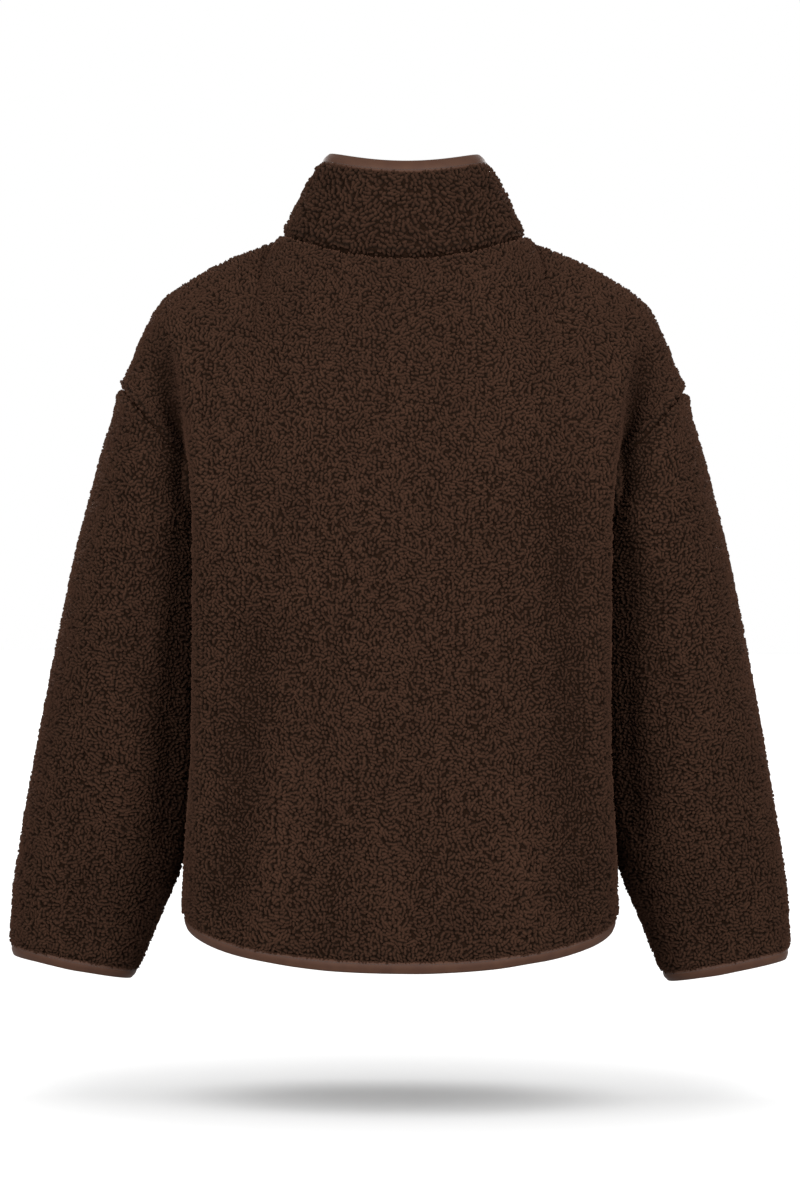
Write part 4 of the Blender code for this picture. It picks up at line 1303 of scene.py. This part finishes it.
# ---------------------------------------------------------------- fleece panels
@dataclass
class FleecePanel:
    """A panel of fleece: a knitted wall under a ground of pile, and the curls on it."""

    name: str
    points: Array               # its outer face, rows by columns
    smooth: Array               # the same without the creases
    edges: tuple[Array, Array, Array, Array]    # first and last row, first and last column
    outward: Vector             # a direction that its middle faces
    flat: tuple[float, float]   # width and length of the cloth that it was cut from
    area: float                 # and the cut's own area
    closed: bool = False
    curl_size: float = 1.0
    pile_parts: int = 1         # pieces that the pile is grown in
    fold_tone: float = 30.0     # painted light on a ridge and painted shade in a trough: how much lighter and darker, per metre
    tone: float = 0.0           # how much lighter the whole panel is painted, as painted light; below 0, painted shade
    seed: int = 0
    pile_depth: float = 0.0026  # from the tips of the curls down to their ground
    deepest: float = 0.0036     # of all dips
    swell_place: float = 2.4    # where the cloth swells beside a dip, in reaches of the dip
    least_wall: float = 0.0006
    meeting_reach: float = 0.003    # within which another panel's edge is sewn to this one's
    turning_reach: float = 0.007    # over which the normals turn towards the seam's
    closing_reach: float = 0.018    # over which the cloth thins where two panels face each other
    least_shut: float = 0.01        # where the back of such thin cloth takes the dark ground, as painted shade

    def __post_init__(self) -> None:
        """Turn the grid so that its normals point outwards, and work them out."""
        normals = grid_normals(self.smooth, self.closed)
        rows, columns = normals.shape[:2]
        middle = normals[rows // 2, columns // 4 if self.closed else columns // 2]
        if Vector(middle).dot(self.outward) < 0:
            self.points, self.smooth = self.points[:, ::-1], self.smooth[:, ::-1]
            normals = grid_normals(self.smooth, self.closed)
            first, last, start, end = self.edges
            self.edges = (first[::-1], last[::-1], end, start)
        self.normals = normals
        self.shut = np.zeros(normals.shape[:2])     # how far another panel closes on this one

    def distances(self) -> tuple[Array, Array, Array, Array]:
        """Distance of each point from the first and last row, and first and last column."""
        along, across = arc_length(self.points, 0), arc_length(self.points, 1)
        return along, along[-1:] - along, across, across[:, -1:] - across

    def rim(self, grid: Array) -> list[Array]:
        """The first and last row, and the first and last column, of a grid of this panel's."""
        return [grid[:1], grid[-1:], grid[:, :1], grid[:, -1:]]

    def meet(self, places: Array, normals: Array) -> None:
        """Lean the normals along the edges towards those of the panels that are sewn there.

        Args:
            places: Points on the other panels' edges.
            normals: The other panels' normals there.
        """
        turn = np.zeros_like(self.normals)
        for edge, own, distance in zip(self.rim(self.points), self.rim(self.normals),
                                       self.distances()):
            apart = np.linalg.norm(edge[:, :, None] - places, axis=-1)
            weight = np.exp(-((apart / self.meeting_reach) ** 2))
            other = unit(weight @ normals)
            sewn = np.minimum(weight.sum(axis=-1), 1)
            alike = np.clip(1 + np.sum(own * other, axis=-1), 0, 1)
            shared = unit(own + other * (sewn * alike)[..., None])
            near = np.exp(-((distance / self.turning_reach) ** 2))
            turn += near[..., None] * (shared - own)
            line = edge.reshape(-1, 3)
            apart = np.linalg.norm(line[:, None] - line, axis=-1)
            closed = np.exp(-((apart / self.closing_reach) ** 2)) * (sewn * (1 - alike)).ravel()
            closed = closed.max(axis=1).reshape(sewn.shape)
            near = np.exp(-((distance / self.closing_reach) ** 2))
            self.shut = np.maximum(self.shut, near * closed)
        self.normals = unit(self.normals + turn)

    def dip(self) -> tuple[Array, Array]:
        """Work out how the ground sinks and swells towards its edges.

        Returns:
            How far it sinks at each point, and how near an edge that is, from 0 to 1.
        """
        dip, swell, near = np.zeros((3, *self.points.shape[:2]))
        for run, distance, axis in zip(self.edges, self.distances(), (0, 0, 1, 1)):
            depth, reach, puff = np.moveaxis(np.expand_dims(run, axis), -1, 0)
            fall = np.exp(-((distance / reach) ** 2))
            dip = np.maximum(dip, depth * fall)
            beside = np.exp(-((distance / reach - self.swell_place) ** 2))
            swell = np.maximum(swell, puff * beside)
            near = np.maximum(near, fall * depth / self.deepest)
        return dip - swell, near

    def build(self, finishes: Finishes, pile: Pile) -> Object:
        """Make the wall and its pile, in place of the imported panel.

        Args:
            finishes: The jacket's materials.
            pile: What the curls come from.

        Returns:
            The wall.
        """
        dip, near = self.dip()
        depth = (self.pile_depth + dip) * (1 - self.shut)
        face = self.points - self.normals * depth[..., None]
        piece = finish_piece(self.wall(face, depth), self.name + "_wall",
                             (finishes.ground, finishes.backing))
        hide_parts(self.name)
        folds = np.sum((self.points - self.smooth) * self.normals, axis=2)
        # the fold mark is painted light and shade: ridges lighter, troughs darker, the whole panel
        # by its tone
        marks = {"seam": near, "fold": self.fold_tone * folds + self.tone}
        cuts = np.linspace(0, face.shape[1] - 1, self.pile_parts + 1).astype(int)
        for i, (start, end) in enumerate(zip(cuts[:-1], cuts[1:])):
            part = slice(start, end + 1)
            number = f"_{i + 1}" if self.pile_parts > 1 else ""
            here = {mark: values[:, part] for mark, values in marks.items()}
            pile.grow(face[:, part], here, f"{self.name}_pile{number}",
                                  self.curl_size, self.seed + i)
        return piece

    def wall(self, face: Array, depth: Array) -> BMesh:
        """Make the cloth, its ground outside and its knitted back inside.

        Args:
            face: Points of the ground.
            depth: How deep each of them lies under the tips of the pile.

        Returns:
            The closed wall. Its faces have material 0 outside and 1 inside, save where another
            panel closes on it: there the inside has the dark ground's 0, as painted shade.
        """
        wall_depth = np.maximum(depth + self.least_wall, FORM.fleece_wall * (1 - self.shut))
        rear = self.points - self.normals * wall_depth[..., None]
        mesh = bmesh.new()
        lay_grid(mesh, face)
        inside = lay_grid(mesh, rear[:, ::-1], material=1)
        # painted shade: where another panel closes on this one, the inside takes the dark ground
        for vert, shut in zip(inside, self.shut[:, ::-1].ravel()):
            if shut > self.least_shut:
                for cell in vert.link_faces:
                    cell.material_index = 0
        bmesh.ops.bridge_loops(mesh, edges=open_edges(mesh))
        return mesh


def edge_run(*parts: tuple[Edge, int]) -> Array:
    """Dip, reach and swell at each point of an edge, from its kinds and their counts of points."""
    return np.array([kind.value for kind, count in parts for _ in range(count)])


@dataclass
class Fleece:
    """All six panels of fleece."""

    finishes: Finishes
    half_columns: int = 64
    torso_rows: tuple[int, int] = (38, 38)
    sleeve_grid: tuple[int, int] = (64, 68)
    collar_grid: tuple[int, int] = (76, 18)

    def torso(self) -> list[FleecePanel]:
        """Lay out the back and the two fronts.

        Returns:
            The three panels.
        """
        deep, soft, bound, zipped = Edge.DEEP_SEAM, Edge.SOFT_SEAM, Edge.BOUND, Edge.ZIPPED
        columns, (low, high) = self.half_columns, self.torso_rows
        neck = round(columns * FORM.neck_share) + 1
        top = edge_run((deep, neck), (soft, columns + 1 - neck))
        side = edge_run((soft, low), (deep, high + 1))
        halves = {(facing, hand): [FORM.torso_half(facing, hand, columns, self.torso_rows, creased)
                                   for creased in (True, False)]
                  for facing in Facing for hand in Hand}
        backs = [np.concatenate([left[:, ::-1], right[:, 1:]], axis=1)
                 for left, right in zip(*(halves[B, hand] for hand in Hand))]
        made = [FleecePanel(
            "back", *backs,
            (edge_run((bound, 2 * columns + 1)), np.concatenate([top[::-1], top[1:]]), side, side),
            Vector((0, 1, 0)), flat=(0.716, 0.649), area=0.334, pile_parts=2, seed=10)]
        for hand in Hand:
            made.append(FleecePanel(
                f"front_{hand.word}", *halves[F, hand],
                (edge_run((bound, columns + 1)), top, edge_run((zipped, low + high + 1)), side),
                Vector((0, -1, 0)), flat=(0.350, 0.631), area=0.156, seed=20 + hand.value))
        return made

    def sleeves(self) -> list[FleecePanel]:
        """Lay out the sleeves, each closed by its seam under the arm.

        Returns:
            The left and the right sleeve.
        """
        around, along = self.sleeve_grid
        seam = edge_run((Edge.SOFT_SEAM, along + 1))
        armhole, cuff = (edge_run((kind, around + 1)) for kind in (Edge.DEEP_SEAM, Edge.BOUND))
        return [FleecePanel(
            f"sleeve_{hand.word}", *(FORM.sleeve(hand, around, along, creased)
                                     for creased in (True, False)),
            (armhole, cuff, seam, seam), Vector((0, 1, 0)), flat=(0.445, 0.499), area=0.197,
            closed=True, seed=30 + hand.value) for hand in Hand]

    def collar(self) -> FleecePanel:
        """Lay out the stand collar, with the larger curls that it has.

        Returns:
            The panel.
        """
        across, rows = self.collar_grid
        strip = FORM.collar_strip(across, rows)
        foot, top = (edge_run((kind, across + 1)) for kind in (Edge.ROLLED_SEAM, Edge.BOUND))
        end = edge_run((Edge.ZIPPED, rows + 1))
        return FleecePanel(
            "collar", strip, strip, (foot, top, end, end), Vector((0, 1, 0)),
            # painted shade: the whole collar is painted darker than the other panels
            flat=(0.593, 0.078), area=0.0372, curl_size=1.25, tone=-0.10, seed=40)

    def build(self) -> None:
        """Make every panel with its pile."""
        pile = Pile(self.finishes)
        panels = [*self.torso(), *self.sleeves(), self.collar()]
        rims = [[np.concatenate([edge.reshape(-1, 3) for edge in panel.rim(grid)])
                 for grid in (panel.points, panel.normals)] for panel in panels]
        for panel, own in zip(panels, rims):
            panel.meet(*(np.concatenate(parts)
                         for parts in zip(*(rim for rim in rims if rim is not own))))
        for panel in panels:
            panel.build(self.finishes, pile)


# ---------------------------------------------------------------- bindings and sewing
def copies(template: BMesh, centres: Array, axes: Array) -> BMesh:
    """Join copies of a small mesh, one for each centre, from arrays.

    Args:
        template: The mesh to copy, about its own origin, which is freed.
        centres: Places of the copies, one row for each.
        axes: For each copy the three directions that its X, Y and Z turn to.

    Returns:
        The joined mesh.
    """
    shape = np.array([vert.co for vert in template.verts])
    faces = [[vert.index for vert in face.verts] for face in template.faces]
    template.free()
    points = np.einsum("vk,nkc->nvc", shape, axes) + centres[:, None, :]
    joined = [[i + n * len(shape) for i in face] for n in range(len(centres)) for face in faces]
    data = bpy.data.meshes.new("copies")
    data.from_pydata(points.reshape(-1, 3).tolist(), [], joined)
    row = bmesh.new()
    row.from_mesh(data)
    return row


def along_path(points: Array, spacing: float, start: float = 0.0) -> tuple[Array, Array]:
    """Places at an even spacing along a path, as fractional indices, and its unit tangents.

    Args:
        points: The path's points.
        spacing: Distance from one place to the next.
        start: Distance of the first place from the path's start.

    Returns:
        For each place its fractional index among the points, and its tangent.
    """
    length = arc_length(points, 0)
    at = np.interp(np.arange(start, length[-1], spacing), length, np.arange(len(points)))
    return at, unit(mix(np.gradient(points, axis=0), at))


def mix(values: Array, at: Array) -> Array:
    """Read rows of an array between its indices.

    Args:
        values: The array.
        at: The fractional indices.

    Returns:
        One mixed row for each index.
    """
    low = np.clip(at.astype(int), 0, len(values) - 2)
    t = (at - low)[:, None]
    return (1 - t) * values[low] + t * values[low + 1]


@dataclass
class Binding:
    """A folded elastic round an edge of the fleece, with a row of stitches on each face."""

    name: str
    strip: Array                # rows of the fleece's face, the bound edge first
    height: float               # from the fleece's edge to the fold
    closed: bool = False
    thickness: float = 0.0008
    front_depth: float = 0.0037     # of the folded cloth's middle under the pile's face
    rear_depth: float = 0.0069
    overlap: float = 0.0012     # how far it goes up over the fleece's edge
    puff: float = 0.0014        # how far the folded cloth rounds out
    leg_steps: int = 5
    fold_steps: int = 6
    stitch_pitch: float = 0.0030
    stitch_length: float = 0.0027
    stitch_width: float = 0.0006
    stitch_drop: float = 0.0014     # of the stitches past the fleece's edge

    def middle(self) -> Array:
        """Work out the middle of the folded cloth's section.

        Returns:
            Points, each with its depth under the face and its drop past the edge.
        """
        radius = (self.rear_depth - self.front_depth) / 2
        down = np.linspace(0, 1, self.leg_steps + 1)
        drop = -self.overlap + (self.height - radius + self.overlap) * down
        front = np.stack([self.front_depth - self.puff * np.sin(math.pi * down), drop], axis=1)
        rear = np.stack([np.full_like(down, self.rear_depth), drop], axis=1)[::-1]
        turn = np.linspace(0, math.pi, self.fold_steps + 1)[1:-1]
        fold = np.stack([(self.front_depth + self.rear_depth) / 2 - radius * np.cos(turn),
                         self.height - radius + radius * np.sin(turn)], axis=1)
        return np.concatenate([front, fold, rear])

    def section(self) -> Array:
        """Work out the outline of the folded cloth, both of its faces.

        Returns:
            Points as the middle has them, the last one on the first.
        """
        middle = self.middle()
        step = unit(np.gradient(middle, axis=0))
        side = step[:, ::-1] * (-1, 1) * self.thickness / 2
        outline = np.concatenate([middle + side, (middle - side)[::-1]])
        return np.concatenate([outline, outline[:1]])

    def build(self, finishes: Finishes) -> Object:
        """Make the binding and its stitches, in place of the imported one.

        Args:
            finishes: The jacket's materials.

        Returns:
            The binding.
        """
        edge = self.strip[0]
        normals = grid_normals(self.strip, self.closed)[0]
        if np.sum(normals * (edge - edge.mean(axis=0))) < 0:
            normals = -normals
        beyond = edge - self.strip[1]
        beyond = unit(beyond - normals * np.sum(beyond * normals, axis=1, keepdims=True))
        depth, drop = self.section().T[..., None, None]
        rings = np.moveaxis(edge - normals * depth + beyond * drop, 0, 1)
        mesh = bmesh.new()
        lay_grid(mesh, rings)
        bmesh.ops.remove_doubles(mesh, verts=mesh.verts, dist=MERGE_DISTANCE)
        if not self.closed:
            bmesh.ops.holes_fill(mesh, edges=open_edges(mesh))
        bmesh.ops.recalc_face_normals(mesh, faces=mesh.faces)
        piece = finish_piece(mesh, self.name + "_elastic", (finishes.binding,))
        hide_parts(self.name)
        sewn = self.sew(edge, normals, beyond, finishes.thread)
        return piece

    def sew(self, edge: Array, normals: Array, beyond: Array, thread: Material) -> Object:
        """Lay a row of stitches along each face, near the fleece.

        Args:
            edge: Points along the fleece's edge.
            normals: Outward normals there.
            beyond: Directions there from the fleece towards the fold.
            thread: The stitches' material.

        Returns:
            The stitches.
        """
        at, tangent = along_path(edge, self.stitch_pitch, self.stitch_pitch)
        normal = unit(mix(normals, at))
        line = mix(edge, at) + mix(beyond, at) * self.stitch_drop
        half = self.thickness / 2
        leg = self.height - (self.rear_depth - self.front_depth) / 2 + self.overlap
        puff = self.puff * math.sin(math.pi * (self.stitch_drop + self.overlap) / leg)
        front, rear = self.front_depth - half - puff, self.rear_depth + half
        centres = np.concatenate([line - normal * front, line - normal * rear])
        side = np.cross(normal, tangent)
        axes = np.concatenate([np.stack([tangent, side, normal], axis=1)] * 2)
        stitch = bmesh.new()
        start_ball(stitch)
        bmesh.ops.scale(stitch, verts=stitch.verts,
                        vec=(self.stitch_length, self.stitch_width, self.stitch_width))
        return finish_piece(copies(stitch, centres, axes), self.name + "_stitches", (thread,))


@dataclass
class Bindings:
    """The elastic along the collar, the hem and both cuffs."""

    finishes: Finishes
    height: float = 0.0090
    collar_height: float = 0.0105
    half_columns: int = 60
    torso_rows: tuple[int, int] = (60, 2)
    collar_grid: tuple[int, int] = (120, 24)
    cuff_grid: tuple[int, int] = (96, 100)

    def hem_strip(self) -> Array:
        """Find the lowest rows of the body's fleece, which set the binding's place and lean.

        Returns:
            Points, each row from one front edge round to the other.
        """
        runs = []
        for hand in Hand:
            front, back = (FORM.torso_half(facing, hand, self.half_columns, self.torso_rows)[:3]
                           for facing in (F, B))
            runs.append(np.concatenate([front, back[:, -2::-1]], axis=1))
        left, right = runs
        return np.concatenate([left, right[:, -2::-1]], axis=1)

    def build(self) -> None:
        """Make all four, each on the three last rows of what it binds."""
        collar = FORM.collar_strip(*self.collar_grid)[:-4:-1]
        Binding("collar_binding", collar, self.collar_height).build(self.finishes)
        Binding("hem_binding", self.hem_strip(), self.height).build(self.finishes)
        for hand in Hand:
            cuff = FORM.sleeve(hand, *self.cuff_grid)[:-4:-1]
            name = f"cuff_binding_{hand.word}"
            Binding(name, cuff, self.height, closed=True).build(self.finishes)


# ---------------------------------------------------------------- zip
@dataclass
class Zip:
    """The closed zip down the front: tapes, moulded teeth, a box at the hem, slider and pull."""

    finishes: Finishes
    front_columns: int = 60
    front_rows: tuple[int, int] = (70, 40)
    collar_grid: tuple[int, int] = (120, 12)
    seam_gap: float = 0.0003
    tape_thickness: float = 0.0010
    tape_inner_x: float = 0.0012
    tape_outer_x: float = 0.0150
    tape_end: float = 0.0085
    tape_columns: int = 8
    tooth_pitch: float = 0.0025
    tooth_size: tuple[float, float, float] = (0.0046, 0.0012, 0.0024)
    tooth_reach: float = 0.0014     # how far a tooth crosses the middle line
    slider_foot_z: float = -0.0030
    stop_size: tuple[float, float, float] = (0.0066, 0.0100, 0.0032)
    rounding: float = 0.00022   # of every other hard edge
    stop_rounding: float = 0.00088  # of the box, which is moulded thicker than a tooth

    def front_edge(self, hand: Hand) -> tuple[Array, Array, Array]:
        """The edge of one front and collar end, from the hem up.

        Args:
            hand: Which side.

        Returns:
            Points under the fleece's edge, their slope away from it, and outward normals.
        """
        front = FORM.torso_half(F, hand, self.front_columns, self.front_rows)[:, :3]
        collar = FORM.collar_strip(*self.collar_grid)[1:, :3] * (hand.value, 1, 1)
        strip = np.concatenate([front, collar])
        normals = grid_normals(strip, False)
        normals *= -np.sign(normals[..., 1:2])
        under = strip - normals * (FORM.fleece_wall + self.seam_gap)
        across = under[:, 1] - under[:, 0]
        return under[:, 0], across / np.abs(across[:, :1]), normals[:, 0]

    def tape(self, hand: Hand) -> Object:
        """Make one tape, a strip sewn behind the front's edge, with its teeth.

        Args:
            hand: Which side.

        Returns:
            The tape.
        """
        under, slope, normals = self.front_edge(hand)
        low, high = unit(under[:1] - under[1:2]), unit(under[-1:] - under[-2:-1])
        under = np.concatenate([under[:1] + low * self.tape_end, under,
                                under[-1:] + high * self.tape_end])
        slope = np.concatenate([slope[:1], slope, slope[-1:]])
        normals = np.concatenate([normals[:1], normals, normals[-1:]])
        out = np.linspace(self.tape_inner_x, self.tape_outer_x, self.tape_columns + 1)
        reach = np.maximum(out - FORM.zip_slot / 2, 0)[None, :, None]
        front = under[:, None] + slope[:, None] * reach
        front[..., 0] = hand.value * out
        rear = front - normals[:, None] * self.tape_thickness
        mesh = bmesh.new()
        lay_grid(mesh, front)
        lay_grid(mesh, rear[:, ::-1])
        bmesh.ops.bridge_loops(mesh, edges=open_edges(mesh))
        bmesh.ops.recalc_face_normals(mesh, faces=mesh.faces)
        name = f"zip_tape_{hand.word}"
        piece = finish_piece(mesh, name + "_woven", (self.finishes.tape,))
        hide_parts(name)
        teeth = self.teeth(hand)
        return piece

    def teeth(self, hand: Hand) -> Object:
        """Mould one side's teeth, which stand half a pitch off the other side's.

        Args:
            hand: Which side.

        Returns:
            The teeth, as one piece.
        """
        under, _, normals = self.front_edge(hand)
        below = under[:, 2] < self.slider_foot_z
        line = under[below] - normals[below] * self.tape_thickness / 2
        line[:, 0] = 0
        offset = self.stop_size[1] + (0 if hand is Hand.LEFT else self.tooth_pitch / 2)
        at, tangent = along_path(line, self.tooth_pitch, offset)
        normal = unit(mix(normals[below], at) * (0, 1, 1))
        across = np.cross(normal, tangent)
        across *= np.sign(across[:, :1]) * hand.value
        centres = mix(line, at) + across * (self.tooth_size[0] / 2 - self.tooth_reach)
        tooth = bmesh.new()
        start_block(tooth, self.tooth_size, self.rounding)
        row = copies(tooth, centres, np.stack([across, tangent, normal], axis=1))
        bmesh.ops.recalc_face_normals(row, faces=row.faces)
        return finish_piece(row, f"zip_teeth_{hand.word}", (self.finishes.teeth,))

    def stop(self) -> Object:
        """Make the box at the hem, in which the pin of one tape holds it to the other.

        Returns:
            The box. The pin is hidden in it.
        """
        under, _, normals = self.front_edge(Hand.LEFT)
        width, height, depth = self.stop_size
        up = unit(under[1] - under[0])
        centre = Vector(under[0] - normals[0] * self.tape_thickness / 2 + up * height / 2)
        centre.x = 0
        mesh = bmesh.new()
        start_block(mesh, (width, depth, height), self.stop_rounding)
        tilt = Matrix.Rotation(math.atan2(-up[1], up[2]), 3, "X")
        bmesh.ops.rotate(mesh, verts=mesh.verts, cent=(0, 0, 0), matrix=tilt)
        bmesh.ops.translate(mesh, verts=mesh.verts, vec=centre)
        return finish_piece(mesh, "zip_box", (self.finishes.teeth,))

    def cast(self, node: str, body: str) -> Object:
        """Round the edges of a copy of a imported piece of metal.

        Args:
            node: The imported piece.
            body: The body that it rides on.

        Returns:
            The piece that stands for it.
        """
        source = bpy.data.objects[node]
        mesh = bmesh.new()
        mesh.from_mesh(source.data)
        bmesh.ops.remove_doubles(mesh, verts=mesh.verts, dist=MERGE_DISTANCE)
        bmesh.ops.dissolve_limit(mesh, angle_limit=FLAT, verts=mesh.verts, edges=mesh.edges)
        mesh.transform(source.matrix_world)
        soften(mesh, self.rounding)
        piece = finish_piece(mesh, node + "_cast", (self.finishes.zinc,), body)
        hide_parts(node)
        return piece

    def build(self) -> None:
        """Make the whole zip."""
        for hand in Hand:
            self.tape(hand)
        self.stop()
        self.cast("zip_slider", JACKET)
        self.cast("zip_pull", PULL)


def soften(mesh: BMesh, size: float) -> None:
    """Bevel every sharp edge of a hard piece.

    Args:
        mesh: The piece.
        size: Size of the bevel.
    """
    sharp = [edge for edge in mesh.edges if edge.calc_face_angle(0) > SHARP]
    bmesh.ops.bevel(mesh, geom=sharp, offset=size, offset_type="OFFSET", affect="EDGES",
                    segments=2, profile=0.5, clamp_overlap=True, material=-1)


# ---------------------------------------------------------------- studio
@dataclass(frozen=True)
class Studio:
    """White surround, pale floor, soft light and the photo's camera."""

    floor_z: float = -0.747
    floor_size: float = 60.0
    floor_shade: str = "F2F2F2"
    camera_distance: float = 3.6
    camera_x: float = 0.0016
    camera_z: float = -0.3154
    picture_height: float = 1.040   # at the jacket
    roll: float = math.radians(-0.32)
    sensor: float = 36.0
    surround: float = 1.0
    box_size: float = 1.0
    boxes: tuple[tuple[float, float, float, float], ...] = (    # place and power
        (-1.45, 2.4, 0.5, 116.0),
        (1.25, 2.4, 0.5, 100.0),
        (-1.5, -2.6, 0.7, 60.0),
        (1.5, -2.6, 0.7, 60.0),
    )
    aim: tuple[float, float, float] = (0.0, 0.0, -0.3)
    top_strength: float = 0.9   # each
    top_spread: float = math.radians(60)
    top_tilts: tuple[float, float] = (math.radians(-42), math.radians(8))

    def build(self) -> None:
        """Set up floor, light and camera."""
        scene = bpy.context.scene
        scene.view_settings.view_transform = "Standard"
        scene.world = bpy.data.worlds.new("surround")
        scene.world.use_nodes = True
        back = scene.world.node_tree.nodes["Background"]
        back.inputs["Color"].default_value = (1.0, 1.0, 1.0, 1.0)
        back.inputs["Strength"].default_value = self.surround
        self.hang_lights(self.lay_floor())
        camera = bpy.data.cameras.new("camera")
        camera.sensor_width = self.sensor
        camera.lens = self.sensor * self.camera_distance / self.picture_height
        holder = bpy.data.objects.new("camera", camera)
        holder.location = (self.camera_x, self.camera_distance, self.camera_z)
        holder.rotation_euler = (math.radians(90), self.roll, math.radians(180))
        scene.collection.objects.link(holder)
        scene.camera = holder

    def lay_floor(self) -> Object:
        """Lay the plain floor under the jacket.

        Returns:
            The floor.
        """
        mesh = bmesh.new()
        bmesh.ops.create_grid(mesh, x_segments=1, y_segments=1, size=self.floor_size / 2)
        bmesh.ops.translate(mesh, verts=mesh.verts, vec=(0, 0, self.floor_z))
        floor = to_object(mesh, "floor")
        floor.data.materials.append(new_material(
            "white_paper", Base_Color=linear(self.floor_shade), Roughness=0.9,
            Specular_IOR_Level=0.1)[0])
        bpy.context.scene.collection.objects.link(floor)
        return floor

    def hang_lights(self, floor: Object) -> None:
        """Hang wide lights for the floor alone, and stand softboxes for all but the floor.

        Args:
            floor: The floor.
        """
        hung = []
        for i, tilt in enumerate(self.top_tilts):
            top = bpy.data.lights.new(f"top_{i}", "SUN")
            top.energy, top.angle = self.top_strength, self.top_spread
            sky = bpy.data.objects.new(f"top_{i}", top)
            sky.rotation_euler.x = tilt
            hung.append((sky, "INCLUDE"))
        for i, (*place, power) in enumerate(self.boxes):
            box = bpy.data.lights.new(f"softbox_{i}", "AREA")
            box.energy, box.size = power, self.box_size
            stand = bpy.data.objects.new(f"softbox_{i}", box)
            stand.location = place
            stand.rotation_euler = (Vector(self.aim) - stand.location).to_track_quat(
                "-Z", "Y").to_euler()
            hung.append((stand, "EXCLUDE"))
        for light, state in hung:
            bpy.context.scene.collection.objects.link(light)
            linked = bpy.data.collections.new(f"{light.name}_floor")
            linked.objects.link(floor)
            linked.collection_objects[0].light_linking.link_state = state
            light.light_linking.receiver_collection = linked


# ---------------------------------------------------------------- run
def main() -> None:
    """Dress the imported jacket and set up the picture."""
    logging.basicConfig(level=logging.INFO, format="%(message)s")
    finishes = Finishes()
    Fleece(finishes).build()
    Bindings(finishes).build()
    Zip(finishes).build()
    Studio().build()


if __name__ == "__main__":
    main()
